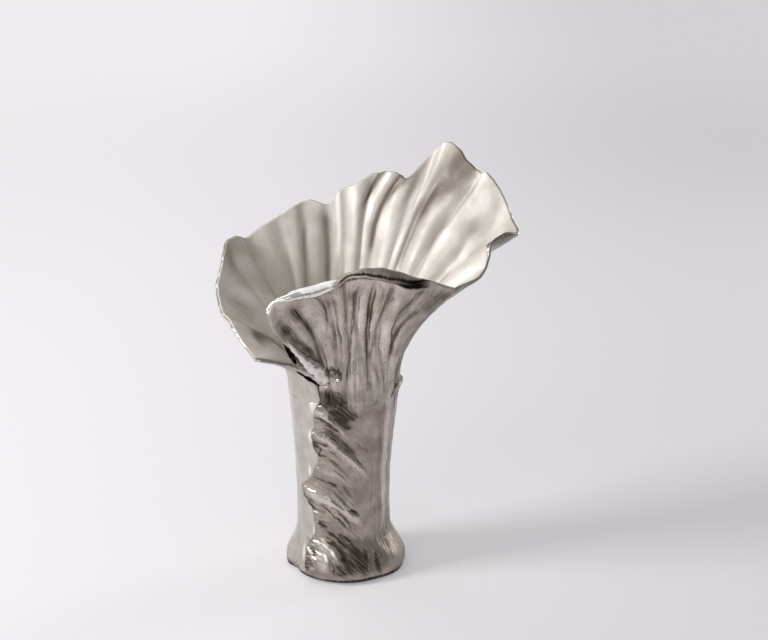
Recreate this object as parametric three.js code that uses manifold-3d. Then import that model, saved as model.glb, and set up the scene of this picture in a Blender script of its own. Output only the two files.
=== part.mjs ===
/*
 * Metal flower vase in the shape of a gnarled trunk that opens into two fluted leaves.
 *
 * A rolled tube stands on a closed foot. A thicker ridged panel is lapped around its front and right side and
 * leaves a ragged seam at the front left. Two cast leaves are welded on the neck: a tall one that runs round the
 * left, the back and the right, and a low one across the front that is tucked inside the tall one at the left.
 * Both leaves and the tube are coated inside with pearl enamel.
 *
 * Millimetres and degrees. +Z is up, +X is the side to which the tall leaf leans, -Y is the front. The origin is
 * the middle of the foot on the surface that the vase stands on. Bearings are measured about +Z from +X.
 */
import * as THREE from 'three';
import { mergeVertices } from 'three/addons/utils/BufferGeometryUtils.js';
import Module from 'manifold-3d';

const { degToRad, radToDeg, smoothstep, clamp, lerp } = THREE.MathUtils;

// Clearance that every seated neighbour keeps
const SEAT_GAP = 0.3;

// Foot
const PAD_THICKNESS = 1.6;
const PAD_RADIUS = 44;
const PLATE_THICKNESS = 2.6;
const PLATE_SETBACK = 0.8;
const FOOT_RADIUS = 50.6;
const FOOT_OFFSET = 0.9;
const FOOT_SHOULDER = 9;
const FOOT_FLARE_TOP = 43;

// Trunk: waist and neck, with the sideways offset of its axis at each
const WAIST_HEIGHT = 58;
const WAIST_RADIUS = 39.9;
const WAIST_OFFSET = -2.1;
const NECK_HEIGHT = 166;
const NECK_RADIUS = 47.7;
const NECK_OFFSET = -1.2;
const NECK_SWELL = 1.6;
const TUBE_WALL = 3;
const WELD_HEIGHT = 2.4;
const WELD_INSET = 0.9;

// Lapped panel
const PANEL_WALL = 3.5;
const LAP_GAP = 0.6;
const PANEL_BACK_EDGE = 150;
const PANEL_BLEND = 8;
const LEDGE_RISE = 9;
const LEDGE_WALL = 1.6;
const LEDGE_SPLAY = 0.1;
const LEDGE_KICK_HEIGHT = 9;
const LEDGE_HALF_SPAN = 42;
const LEDGE_FADE = 28;
const LEDGE_ONSET = 0.35;

// Ragged front seam of the panel, from the foot up: share of the panel's height, bearing of the edge
const SEAM = [
  [0, -131], [0.12, -134], [0.21, -125], [0.33, -125], [0.4, -135], [0.47, -144], [0.53, -133],
  [0.6, -122], [0.68, -116], [0.75, -124], [0.84, -121], [0.93, -118], [1, -112],
];

// Diagonal ridges of the panel, from the top down: height of the crest at the seam as a share of the trunk's,
// bearing where it fades, and shares of the full rise and half width. Past the turn they fall to the right.
const RIDGE_RISE = 3.2;
const RIDGE_WIDTH = 7;
const RIDGES = [
  [0.935, -58, 0.81, 0.93],
  [0.819, -52, 0.94, 1],
  [0.66, -74, 0.75, 0.86],
  [0.501, -48, 1, 1],
  [0.379, -76, 0.75, 0.79],
  [0.244, -84, 0.81, 0.86],
];
const RIDGE_TURN_BEARING = -101;
const RIDGE_SLOPE = 1.2;
const RIDGE_TURN_SPAN = 7;
const RIDGE_FADE_SPAN = 16;

// Leaves: greatest reach from the foot's middle, greatest rise over the neck, depth of the deepest flute
const FLARE_REACH = 147;
const FLARE_RISE = 194;
const FLUTE_DEPTH = 2.8;
const LEAF_WALL = 3;
const JOINT_GAP = 1.4;
const ENAMEL_THICKNESS = 0.8;
const ENAMEL_SETBACK = 2.5;
const LIP_ROLL = 3.2;
const LIP_SHARE = 0.08;

// A rib leaves the neck upright for this share of its span, more where it leans less, and is straight at the rim
const RIB_UPRIGHT = 0.16;
const RIB_UPRIGHT_STEEP = 0.3;
const RIB_STRAIGHT = 0.42;

// Rim points: bearing, share of the reach, share of the rise, bearing of the root, lean from upright at the rim,
// sideways turn of the rib at the rim. Each line of points runs clockwise seen from above.
const JOINT_RIB = [-27, 0.707, 0.515, -27, 47, 0];
const BACK_RIM = [
  [-135, 0.687, 0.232, -109, 84, -34],
  [-144, 0.701, 0.299, -118, 76, -20],
  [-158, 0.707, 0.361, -138, 66, -8],
  [-172, 0.735, 0.423, -162, 52, 0],
  [-184, 0.714, 0.536, -180, 36, 0],
  [-193, 0.707, 0.613, -192, 26, 0],
  [-201, 0.687, 0.624, -200, 24, 0],
  [-208, 0.667, 0.603, -208, 30, 0],
  [-218, 0.619, 0.644, -218, 32, 0],
  [-232, 0.578, 0.696, -232, 30, 0],
  [-247, 0.565, 0.737, -247, 26, 0],
  [-259, 0.531, 0.716, -259, 24, 0],
  [-268, 0.558, 0.784, -268, 22, 0],
  [-277, 0.537, 0.809, -277, 22, 0],
  [-286, 0.592, 0.851, -286, 24, 0],
  [-299, 0.599, 0.866, -299, 24, 0],
  [-307, 0.605, 0.845, -307, 26, 0],
  [-311, 0.687, 0.902, -311, 26, 0],
  [-315, 0.769, 0.969, -316, 24, 0],
  [-319, 0.803, 1, -320, 26, 0],
  [-324, 0.816, 0.99, -325, 30, 0],
  [-330, 0.83, 0.938, -330, 34, 0],
  [-337, 0.871, 0.892, -336, 38, 0],
  [-341, 0.884, 0.902, -340, 40, 0],
  [-348, 0.939, 0.82, -346, 44, 0],
  [-355, 0.973, 0.732, -352, 50, 0],
  [-360, 1, 0.691, -357, 58, 0],
  [-365, 0.925, 0.711, -362, 50, 0],
  [-369, 0.857, 0.675, -367, 52, 0],
  [-373, 0.844, 0.613, -372, 58, 0],
  [-378, 0.803, 0.552, -378, 56, 0],
  offsetBearing(JOINT_RIB, -360),
];
const FRONT_RIM = [
  JOINT_RIB,
  [-33, 0.653, 0.541, -32, 40, 0],
  [-38, 0.578, 0.562, -38, 36, 0],
  [-50, 0.497, 0.598, -49, 34, 0],
  [-64, 0.449, 0.624, -62, 34, 0],
  [-81, 0.435, 0.619, -75, 36, 0],
  [-95, 0.456, 0.582, -86, 40, 0],
  [-108, 0.497, 0.562, -94, 42, 0],
  [-119, 0.585, 0.541, -100, 40, 0],
  [-125, 0.653, 0.515, -104, 30, 0],
  [-127, 0.694, 0.474, -107, 12, 0],
];

// Flutes: share of the full depth in which each crest stands at the rim, and its bearing, at each of the crest
// levels where the crest bends. The hollow beside a crest of the tall leaf is steeper on its right.
const CREST_LEVELS = [0, 0.55, 0.75, 0.88, 1];
const BACK_CRESTS = [
  [0, -109],
  [0.64, -136],
  [0.54, -160],
  [0.64, -184, -184, -184, -185, -187],
  [0.79, -203, -203, -203, -203, -204],
  [0.43, -220],
  [0.64, -229, -230, -233, -235, -238],
  [0.57, -246, -246, -248, -251, -254],
  [0.39, -265, -267, -268, -267, -266],
  [0.61, -279, -279, -279, -280, -284],
  [0.68, -290, -289, -288, -291, -300],
  [0.32, -304, -304.5, -305, -306, -310],
  [1, -314, -314, -316, -319.5, -320],
  [0.61, -331, -331, -331, -333, -337],
  [0.46, -345, -346, -346, -345, -346],
  [0.57, -357],
  [0.5, -370],
  [0, -387],
];
const BACK_FLUTE_SKEW = 0.78;
const FRONT_CRESTS = [
  [0, -27], [0.5, -38], [0.57, -49], [0.5, -60], [0.57, -70], [0.5, -80], [0.57, -90], [0.57, -99], [0, -107],
];
const FRONT_FLUTE_SKEW = 1;

// Share of the flutes that fades out towards the rim from a level on: the low leaf's rolled lip is nearly smooth
const CALM_START = 0.8;
const BACK_RIM_CALM = 0;
const FRONT_RIM_CALM = 0.75;
const FLUTE_START = 0.04;
const FLUTE_FULL = 0.6;

// Knot where the tall leaf's low rim ends on the front leaf: places along the rim line and its girth
const KNOT_BEARING = -92;
const KNOT_RISE = 17;
const KNOT_TAIL_BEARING = -108;
const KNOT_TAIL_RISE = 24;
const KNOT_RADIUS = 6.2;
const KNOT_TAIL_RADIUS = 3.4;
const KNOT_PROUD = 2.6;

// Heights that follow from the sizes above
const PLATE_TOP = PAD_THICKNESS + PLATE_THICKNESS;
const TRUNK_TOP = NECK_HEIGHT - WELD_HEIGHT;
const LAP = PANEL_WALL + LAP_GAP;
const LEVELS = trunkLevels(4, 3);

// Fineness of the meshes
const PANEL_COLUMNS = 40;
const PANEL_ROWS = 13;
const PANEL_CROWDING = 1.2;
const BACK_GRID = { columns: 112, rows: 12 };
const FRONT_GRID = { columns: 34, rows: 10 };
const KNOT_CUT_GRID = { columns: 80, rows: 16 };
const RIM_DIVISIONS = 800;
const SLOPE_STEP = 0.002;
const SEAM_SEARCH_STEPS = 24;
const TUBE_SEGMENTS = 48;
const TUBE_ENAMEL_SEGMENTS = 32;
const WELD_SEGMENTS = 60;
const PLATE_SEGMENTS = 64;
const PAD_SEGMENTS = 48;

const METAL_COLOUR = 0x9c948e;
const PATINA_COLOUR = 0x857d77;
const ENAMEL_COLOUR = 0xd9d5ce;
const FELT_COLOUR = 0x1c1b1b;

const wasm = await Module();
wasm.setup();

// Heights at which the trunk's outline bends: over the foot's flare, at the waist and up to the neck
function trunkLevels(flareSteps, neckSteps) {
  const levels = [PLATE_TOP, FOOT_SHOULDER];
  for (let step = 1; step <= flareSteps; step += 1) {
    levels.push(lerp(FOOT_SHOULDER, FOOT_FLARE_TOP, step / flareSteps));
  }
  levels.push(WAIST_HEIGHT);
  for (let step = 1; step <= neckSteps; step += 1) {
    levels.push(lerp(WAIST_HEIGHT, TRUNK_TOP, step / neckSteps));
  }
  return levels;
}

function offsetBearing([bearing, reach, rise, root, lean, turn], by) {
  return [bearing + by, reach, rise, root + by, lean, turn];
}

function finish(colour, roughness, metalness) {
  return new THREE.MeshStandardMaterial({ color: colour, roughness, metalness });
}

function mesh(name, geometry, material) {
  const piece = new THREE.Mesh(geometry, material);
  piece.name = name;
  return piece;
}

// Joins the vertices that share a place, so that the surface is closed
function weldVertices(geometry) {
  geometry.deleteAttribute('normal');
  geometry.deleteAttribute('uv');
  const merged = mergeVertices(geometry, 1e-4);
  merged.computeVertexNormals();
  return merged;
}

// Closed sheet: place(u, v, w) gives the point for each share across, up and through it, right-handed
function bentSheet(columns, rows, place) {
  const points = [];
  for (const w of [0, 1]) {
    for (let row = 0; row <= rows; row += 1) {
      for (let column = 0; column <= columns; column += 1) {
        points.push(place(column / columns, row / rows, w));
      }
    }
  }
  const index = [];
  const at = (column, row, side) => (side * (rows + 1) + row) * (columns + 1) + column;
  const quad = (a, b, c, d) => index.push(a, b, c, a, c, d);
  for (let column = 0; column < columns; column += 1) {
    const next = column + 1;
    for (let row = 0; row < rows; row += 1) {
      quad(at(column, row, 1), at(next, row, 1), at(next, row + 1, 1), at(column, row + 1, 1));
      index.push(at(column, row, 0), at(next, row + 1, 0), at(next, row, 0));
      index.push(at(column, row, 0), at(column, row + 1, 0), at(next, row + 1, 0));
    }
    quad(at(column, 0, 0), at(next, 0, 0), at(next, 0, 1), at(column, 0, 1));
    quad(at(column, rows, 1), at(next, rows, 1), at(next, rows, 0), at(column, rows, 0));
  }
  for (let row = 0; row < rows; row += 1) {
    quad(at(0, row, 0), at(0, row, 1), at(0, row + 1, 1), at(0, row + 1, 0));
    quad(at(columns, row, 1), at(columns, row, 0), at(columns, row + 1, 0), at(columns, row + 1, 1));
  }
  const geometry = new THREE.BufferGeometry().setFromPoints(points);
  geometry.setIndex(index);
  geometry.computeVertexNormals();
  return geometry;
}

// Turns a closed profile about +Z; place(bearing, radius, height) may move each point
function turnedRing(profile, segments, place) {
  const outline = profile.map(([radius, height]) => new THREE.Vector2(radius, height));
  const geometry = new THREE.LatheGeometry(outline, segments);
  geometry.rotateX(Math.PI / 2);
  const position = geometry.attributes.position;
  for (let i = 0; i < position.count; i += 1) {
    const x = position.getX(i);
    const y = position.getY(i);
    const point = place(radToDeg(Math.atan2(y, x)), Math.hypot(x, y), position.getZ(i));
    position.setXYZ(i, point.x, point.y, point.z);
  }
  return weldVertices(geometry);
}

// How much of the foot's flare and of the neck's swell is there at a height
function footShare(height) {
  return 1 - smoothstep(height, FOOT_SHOULDER, FOOT_FLARE_TOP);
}

function neckShare(height) {
  const climb = clamp((height - WAIST_HEIGHT) / (NECK_HEIGHT - WAIST_HEIGHT), 0, 1);
  return climb ** NECK_SWELL;
}

function smoothTrunkValue(height, foot, waist, neck) {
  return waist + (foot - waist) * footShare(height) + (neck - waist) * neckShare(height);
}

// The trunk is straight between its levels, so that the tube, the panel and the enamel stay parallel
function trunkValue(height, foot, waist, neck) {
  const level = clamp(height, LEVELS[0], LEVELS[LEVELS.length - 1]);
  const upper = Math.max(LEVELS.findIndex((value) => value >= level), 1);
  const share = (level - LEVELS[upper - 1]) / (LEVELS[upper] - LEVELS[upper - 1]);
  const below = smoothTrunkValue(LEVELS[upper - 1], foot, waist, neck);
  const above = smoothTrunkValue(LEVELS[upper], foot, waist, neck);
  return lerp(below, above, share);
}

// The tube stands off to the left by half of the lap, because the panel thickens the right side only
function tubeAxis(height) {
  return trunkValue(height, FOOT_OFFSET, WAIST_OFFSET, NECK_OFFSET) - LAP / 2;
}

function tubeRadius(height) {
  return trunkValue(height, FOOT_RADIUS, WAIST_RADIUS, NECK_RADIUS) - LAP / 2;
}

function aroundTube(bearing, radius, height) {
  const angle = degToRad(bearing);
  return new THREE.Vector3(tubeAxis(height) + radius * Math.cos(angle), radius * Math.sin(angle), height);
}

function seamCurve() {
  return new THREE.CatmullRomCurve3(
    SEAM.map(([share, bearing]) => new THREE.Vector3(share, bearing, 0)),
    false,
    'catmullrom',
    0.5,
  );
}

const seam = seamCurve();

// Bearing of the ragged edge at a share of the panel's height
function seamBearing(share) {
  let low = 0;
  let high = 1;
  for (let step = 0; step < SEAM_SEARCH_STEPS; step += 1) {
    const middle = (low + high) / 2;
    if (seam.getPoint(middle).x < share) {
      low = middle;
    } else {
      high = middle;
    }
  }
  return seam.getPoint(low).y;
}

// How fully the panel's ledge stands at a bearing: 1 on the right side, 0 elsewhere
function ledgeShare(bearing) {
  return 1 - smoothstep(Math.abs(bearing), LEDGE_HALF_SPAN, LEDGE_HALF_SPAN + LEDGE_FADE);
}

// How far a neck piece at a bearing stands out over the tube so that it is flush with the panel
function panelShare(bearing) {
  const turned = THREE.MathUtils.euclideanModulo(bearing + 180, 360) - 180;
  const topEdge = SEAM[SEAM.length - 1][1];
  const front = smoothstep(turned, topEdge, topEdge + PANEL_BLEND);
  const back = 1 - smoothstep(turned, PANEL_BACK_EDGE - PANEL_BLEND, PANEL_BACK_EDGE);
  return front * back;
}

function neckRadius(bearing) {
  return tubeRadius(NECK_HEIGHT) + LAP * panelShare(bearing);
}

// Height of the panel's diagonal ridges over its plain surface
function ridgeHeight(bearing, height) {
  let total = 0;
  for (const [crest, fadeBearing, rise, width] of RIDGES) {
    const past = (bearing - RIDGE_TURN_BEARING) / RIDGE_TURN_SPAN;
    const turned = degToRad(RIDGE_TURN_SPAN) * Math.log1p(Math.exp(past));
    const crestHeight = crest * TRUNK_TOP - RIDGE_SLOPE * WAIST_RADIUS * turned;
    const distance = (height - crestHeight) / (width * RIDGE_WIDTH);
    const along = 1 - smoothstep(bearing, fadeBearing - RIDGE_FADE_SPAN, fadeBearing);
    total += rise * RIDGE_RISE * along * Math.exp(-distance * distance);
  }
  return total;
}

// Closed profile of a tube between two offsets from the trunk tube's outer face
function tubeProfile(heights, outside, inside) {
  const outer = heights.map((height) => [tubeRadius(height) + outside, height]);
  const inner = heights.map((height) => [tubeRadius(height) + inside, height]).reverse();
  return [...outer, ...inner, outer[0]];
}

function trunkTube() {
  return turnedRing(tubeProfile(LEVELS, 0, -TUBE_WALL), TUBE_SEGMENTS, aroundTube);
}

// Heights of the panel's rows at a bearing where its ledge stands by the given share
function panelHeights(ledge) {
  const kickStart = TRUNK_TOP - LEDGE_KICK_HEIGHT;
  const heights = LEVELS.filter((level) => level < WAIST_HEIGHT);
  heights.push(lerp(FOOT_FLARE_TOP, WAIST_HEIGHT, 0.5));
  for (let row = 0; row <= PANEL_ROWS; row += 1) {
    heights.push(lerp(WAIST_HEIGHT, kickStart, row / PANEL_ROWS));
  }
  const panelTop = TRUNK_TOP - SEAT_GAP;
  const raised = clamp((ledge - LEDGE_ONSET) / (1 - LEDGE_ONSET), 0, 1);
  heights.push(lerp(kickStart + LEDGE_KICK_HEIGHT / 2, panelTop, raised));
  heights.push(panelTop + raised * LEDGE_RISE);
  return heights;
}

function trunkPanel() {
  const plainHeights = panelHeights(0);
  const rows = plainHeights.length - 1;
  return bentSheet(PANEL_COLUMNS, rows, (u, v, w) => {
    const row = Math.round(v * rows);
    const edge = seamBearing((plainHeights[row] - PLATE_TOP) / (TRUNK_TOP - PLATE_TOP));
    const bearing = lerp(edge, PANEL_BACK_EDGE, u ** PANEL_CROWDING);
    const ledge = ledgeShare(bearing);
    const height = panelHeights(ledge)[row];
    const kick = row >= rows - 1 ? clamp(ledge / LEDGE_ONSET, 0, 1) : 0;
    const splay = Math.max(height - TRUNK_TOP, 0) * LEDGE_SPLAY;
    const seat = neckRadius(bearing) - tubeRadius(TRUNK_TOP);
    const inner = tubeRadius(height) + LAP_GAP + kick * seat + splay;
    const wall = lerp(PANEL_WALL, LEDGE_WALL, kick) + ridgeHeight(bearing, height);
    return aroundTube(bearing, inner + w * wall, height);
  });
}

function trunkEnamel() {
  const heights = [PLATE_TOP + SEAT_GAP, ...LEVELS.slice(1, -1), TRUNK_TOP - ENAMEL_SETBACK];
  const outside = -TUBE_WALL - SEAT_GAP;
  return turnedRing(
    tubeProfile(heights, outside, outside - ENAMEL_THICKNESS),
    TUBE_ENAMEL_SEGMENTS,
    aroundTube,
  );
}

// Bearing of a crest at a share of the way up its leaf
function crestBearing([, ...bearings], level) {
  if (bearings.length === 1) {
    return bearings[0];
  }
  const upper = Math.max(CREST_LEVELS.findIndex((value) => value >= level), 1);
  const share = (level - CREST_LEVELS[upper - 1]) / (CREST_LEVELS[upper] - CREST_LEVELS[upper - 1]);
  return lerp(bearings[upper - 1], bearings[upper], share);
}

// A leaf's surface: u runs clockwise along the rim, v from the root up to the rim
class Leaf {
  constructor(rim, crests, skew, rimCalm, lipRoll) {
    const place = ([bearing, reach, rise]) => new THREE.Vector3(
      reach * FLARE_REACH * Math.cos(degToRad(bearing)),
      reach * FLARE_REACH * Math.sin(degToRad(bearing)),
      NECK_HEIGHT + rise * FLARE_RISE,
    );
    this.rim = new THREE.CatmullRomCurve3(rim.map(place), false, 'catmullrom', 0.5);
    this.ribs = new THREE.CatmullRomCurve3(
      rim.map(([, , , root, lean, turn]) => new THREE.Vector3(root, lean, turn)),
      false,
      'catmullrom',
      0.5,
    );
    this.rim.arcLengthDivisions = RIM_DIVISIONS;
    this.length = this.rim.getLength();
    this.crests = crests;
    this.skew = skew;
    this.rimCalm = rimCalm;
    this.lipRoll = lipRoll;
  }

  // Height of the flutes, as a wave that is highest on each crest and lowest between two
  flute(root, level) {
    const last = this.crests.length - 1;
    for (let i = 0; i < last; i += 1) {
      const start = crestBearing(this.crests[i], level);
      const end = crestBearing(this.crests[i + 1], level);
      if (root >= end) {
        const share = clamp((root - start) / (end - start), 0, 1);
        const depth = lerp(this.crests[i][0], this.crests[i + 1][0], share);
        return FLUTE_DEPTH * depth * Math.cos(2 * Math.PI * share ** this.skew);
      }
    }
    return 0;
  }

  // Point of the plain rib, a curve that leaves the neck upright and reaches the rim at its lean
  ribPoint(u, v) {
    const t = this.rim.getUtoTmapping(clamp(u, 0, 1));
    const tip = this.rim.getPoint(t);
    const { x: root, y: lean, z: turn } = this.ribs.getPoint(t);
    const foot = aroundTube(root, neckRadius(root) - LEAF_WALL / 2, NECK_HEIGHT);
    const span = tip.distanceTo(foot);
    const heading = Math.atan2(tip.y, tip.x) + degToRad(turn);
    const tilt = degToRad(lean);
    const end = new THREE.Vector3(
      Math.cos(heading) * Math.sin(tilt),
      Math.sin(heading) * Math.sin(tilt),
      Math.cos(tilt),
    );
    const rise = span * (RIB_UPRIGHT + RIB_UPRIGHT_STEEP * Math.cos(tilt));
    const lower = foot.clone().add(new THREE.Vector3(0, 0, rise));
    const upper = tip.clone().addScaledVector(end, -RIB_STRAIGHT * span);
    const point = new THREE.CubicBezierCurve3(foot, lower, upper, tip).getPoint(v);
    const roll = this.lipRoll * smoothstep(v, 1 - LIP_SHARE, 1) ** 2;
    point.x += roll * Math.cos(heading);
    point.y += roll * Math.sin(heading);
    return { point, root };
  }

  normal(u, v) {
    const before = this.ribPoint(Math.max(u - SLOPE_STEP, 0), v).point;
    const across = this.ribPoint(Math.min(u + SLOPE_STEP, 1), v).point.sub(before);
    const below = this.ribPoint(u, v - SLOPE_STEP).point;
    const along = this.ribPoint(u, v + SLOPE_STEP).point.sub(below);
    return across.cross(along).normalize();
  }

  // Point at a distance from the middle of the wall, counted inwards
  at(u, v, inwards) {
    const { point, root } = this.ribPoint(u, v);
    const grown = smoothstep(v, FLUTE_START, FLUTE_FULL) * (1 - this.rimCalm * smoothstep(v, CALM_START, 1));
    return point.addScaledVector(this.normal(u, v), inwards + grown * this.flute(root, v));
  }

  // Shares of u and v that a distance along the surface takes at a side edge and at the root or rim
  sideMargin(side, v, distance) {
    const beside = this.ribPoint(Math.abs(side - SLOPE_STEP), v).point;
    return (distance * SLOPE_STEP) / this.ribPoint(side, v).point.distanceTo(beside);
  }

  endMargin(u, distance) {
    return distance / this.ribPoint(u, 0).point.distanceTo(this.ribPoint(u, 1).point);
  }

  // Grid point of the leaf; the cells next to its edges are as wide as the enamel's setback
  gridPoint(column, row, grid, inwards) {
    const level = edgedShare(row, grid.rows, this.endMargin(0.5, ENAMEL_SETBACK));
    const start = this.sideMargin(0, level, JOINT_GAP / 2);
    const end = 1 - this.sideMargin(1, level, JOINT_GAP / 2);
    const edge = Math.max(
      this.sideMargin(0, level, ENAMEL_SETBACK),
      this.sideMargin(1, level, ENAMEL_SETBACK),
    );
    return this.at(lerp(start, end, edgedShare(column, grid.columns, edge)), level, inwards);
  }

  wall(grid) {
    return bentSheet(grid.columns, grid.rows, (u, v, w) => (
      this.gridPoint(u * grid.columns, v * grid.rows, grid, (w - 0.5) * LEAF_WALL)
    ));
  }

  enamel(grid) {
    const from = LEAF_WALL / 2 + SEAT_GAP;
    const columns = grid.columns - 2;
    const rows = grid.rows - 2;
    return bentSheet(columns, rows, (u, v, w) => (
      this.gridPoint(1 + u * columns, 1 + v * rows, grid, from + w * ENAMEL_THICKNESS)
    ));
  }

  // Everything from just outside the wall to a depth inside it
  cutter(grid, depth) {
    const outside = -LEAF_WALL / 2 - 2 * SEAT_GAP;
    return bentSheet(grid.columns, grid.rows, (u, v, w) => this.at(u, v, lerp(outside, depth, w)));
  }
}

// Share of a grid line among cells, with the first and the last cell of a given width
function edgedShare(line, cells, edge) {
  if (line < 0.5) {
    return 0;
  }
  if (line > cells - 0.5) {
    return 1;
  }
  return lerp(edge, 1 - edge, (line - 1) / (cells - 2));
}

function asSolid(geometry) {
  const source = mergeVertices(geometry, 1e-4);
  return new wasm.Manifold(new wasm.Mesh({
    numProp: 3,
    vertProperties: new Float32Array(source.attributes.position.array),
    triVerts: new Uint32Array(source.index.array),
  }));
}

function asGeometry(solid) {
  const { vertProperties, triVerts } = solid.getMesh();
  const geometry = new THREE.BufferGeometry();
  geometry.setAttribute('position', new THREE.BufferAttribute(new Float32Array(vertProperties), 3));
  geometry.setIndex(new THREE.BufferAttribute(new Uint32Array(triVerts), 1));
  geometry.computeVertexNormals();
  return geometry;
}

const backLeaf = new Leaf(BACK_RIM, BACK_CRESTS, BACK_FLUTE_SKEW, BACK_RIM_CALM, 0);
const frontLeaf = new Leaf(FRONT_RIM, FRONT_CRESTS, FRONT_FLUTE_SKEW, FRONT_RIM_CALM, LIP_ROLL);

// A teardrop along the end of the low rim, cut back to the face of the leaves that it is fused to
function seamKnot() {
  const head = aroundTube(KNOT_BEARING, neckRadius(KNOT_BEARING) + KNOT_PROUD, NECK_HEIGHT);
  const tail = aroundTube(KNOT_TAIL_BEARING, neckRadius(KNOT_BEARING) + KNOT_PROUD, NECK_HEIGHT);
  head.z += KNOT_RISE;
  tail.z += KNOT_TAIL_RISE;
  const axis = tail.clone().sub(head);
  const length = axis.length();
  const drop = new THREE.SphereGeometry(1, 14, 10);
  drop.rotateX(Math.PI / 2);
  const turn = new THREE.Quaternion().setFromUnitVectors(new THREE.Vector3(0, 0, 1), axis.normalize());
  const position = drop.attributes.position;
  for (let i = 0; i < position.count; i += 1) {
    const share = (position.getZ(i) + 1) / 2;
    const girth = lerp(KNOT_RADIUS, KNOT_TAIL_RADIUS, share);
    const point = new THREE.Vector3(
      position.getX(i) * girth,
      position.getY(i) * girth,
      lerp(-KNOT_RADIUS, length, share),
    );
    point.applyQuaternion(turn).add(head);
    position.setXYZ(i, point.x, point.y, point.z);
  }
  let solid = asSolid(weldVertices(drop));
  for (const leaf of [frontLeaf, backLeaf]) {
    solid = solid.subtract(asSolid(leaf.cutter(KNOT_CUT_GRID, 3 * KNOT_RADIUS)));
  }
  return asGeometry(solid);
}

function neckWeld() {
  const inner = tubeRadius(TRUNK_TOP) - TUBE_WALL;
  const outer = neckRadius(0);
  const top = NECK_HEIGHT - SEAT_GAP;
  const profile = [[inner, TRUNK_TOP], [outer, TRUNK_TOP], [outer, top], [inner, top], [inner, TRUNK_TOP]];
  return turnedRing(profile, WELD_SEGMENTS, (bearing, radius, height) => {
    const share = Math.round((radius - inner) / (outer - inner));
    return aroundTube(bearing, lerp(inner, neckRadius(bearing) - WELD_INSET, share), height);
  });
}

function basePlate() {
  const radius = FOOT_RADIUS - PLATE_SETBACK;
  const profile = [[0, PAD_THICKNESS], [radius, PAD_THICKNESS], [radius, PLATE_TOP], [0, PLATE_TOP]];
  return turnedRing(profile, PLATE_SEGMENTS, (bearing, r, height) => {
    const angle = degToRad(bearing);
    return new THREE.Vector3(FOOT_OFFSET + r * Math.cos(angle), r * Math.sin(angle), height);
  });
}

function feltPad() {
  const profile = [[0, 0], [PAD_RADIUS, 0], [PAD_RADIUS, PAD_THICKNESS], [0, PAD_THICKNESS]];
  return turnedRing(profile, PAD_SEGMENTS, (bearing, r, height) => {
    const angle = degToRad(bearing);
    return new THREE.Vector3(r * Math.cos(angle), r * Math.sin(angle), height);
  });
}

const nickel = () => finish(METAL_COLOUR, 0.28, 1);
const darkNickel = () => finish(PATINA_COLOUR, 0.38, 1);
const enamel = () => finish(ENAMEL_COLOUR, 0.18, 0.3);

const trunk = new THREE.Group();
trunk.add(
  mesh('trunk_tube', trunkTube(), nickel()),
  mesh('trunk_panel', trunkPanel(), darkNickel()),
  mesh('trunk_enamel', trunkEnamel(), enamel()),
);

const foot = new THREE.Group();
foot.add(
  mesh('base_plate', basePlate(), darkNickel()),
  mesh('felt_pad', feltPad(), finish(FELT_COLOUR, 0.95, 0)),
);

const flare = new THREE.Group();
flare.add(
  mesh('neck_weld', neckWeld(), darkNickel()),
  mesh('back_leaf', backLeaf.wall(BACK_GRID), nickel()),
  mesh('front_leaf', frontLeaf.wall(FRONT_GRID), darkNickel()),
  mesh('back_leaf_enamel', backLeaf.enamel(BACK_GRID), enamel()),
  mesh('front_leaf_enamel', frontLeaf.enamel(FRONT_GRID), enamel()),
  mesh('seam_knot', seamKnot(), nickel()),
);

const vase = new THREE.Group();
vase.add(foot, trunk, flare);

export default vase;
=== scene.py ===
"""Looks of a nickel-plated vase: a gnarled trunk that opens into two fluted leaves with pearl enamel inside.

Each piece is computed as a numpy surface, put into bmesh grids and stands for one node of the CAD part.
Lengths are millimetres and angles degrees unless a name says otherwise. Bearings are measured about +Z
from +X, and -Y is the front.
"""

import itertools
import logging
import math
from dataclasses import dataclass
from enum import Enum

import bmesh
import bpy
import numpy as np
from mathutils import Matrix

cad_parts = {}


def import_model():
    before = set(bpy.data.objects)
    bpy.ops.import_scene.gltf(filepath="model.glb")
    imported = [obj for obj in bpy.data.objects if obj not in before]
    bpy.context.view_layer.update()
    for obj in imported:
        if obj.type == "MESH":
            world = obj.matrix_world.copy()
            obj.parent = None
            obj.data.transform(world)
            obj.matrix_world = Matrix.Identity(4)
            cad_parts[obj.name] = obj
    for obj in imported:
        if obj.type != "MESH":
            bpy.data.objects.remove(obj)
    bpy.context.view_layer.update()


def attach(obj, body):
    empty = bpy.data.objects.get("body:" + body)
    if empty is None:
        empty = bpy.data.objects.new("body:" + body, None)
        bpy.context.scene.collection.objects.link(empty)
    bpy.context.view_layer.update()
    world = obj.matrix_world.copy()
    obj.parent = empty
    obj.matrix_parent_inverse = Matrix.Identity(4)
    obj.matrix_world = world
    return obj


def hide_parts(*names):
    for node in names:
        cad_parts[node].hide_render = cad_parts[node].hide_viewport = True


logging.basicConfig(level=logging.INFO, format="%(message)s")
log = logging.getLogger("vase")

Array = np.ndarray
Span = tuple[float, float]
Points = tuple[tuple[float, ...], ...]
Socket = bpy.types.NodeSocket
Verts = list[bmesh.types.BMVert]

METRES = 0.001
MILLIMETRES = (1000.0, 1000.0, 1000.0)
CLOSING_DISTANCE = 2e-6
BODY = "root"


class Slot(Enum):
    """Material slots of the part's record."""

    NICKEL = "nickel"
    NICKEL_PATINA = "nickel_patina"
    PEARL_ENAMEL = "pearl_enamel"
    BLACK_FELT = "black_felt"


class Edge(Enum):
    """How a sheet ends, as the distances from its edge of its first lines of points."""

    ROUNDED = (0.0, 0.06, 0.25, 0.55, 0.95, 1.5, 2.2)
    SQUARE = (0.0, 0.15, 1.5)
    ROOTED = (0.0, 1.0)


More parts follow.
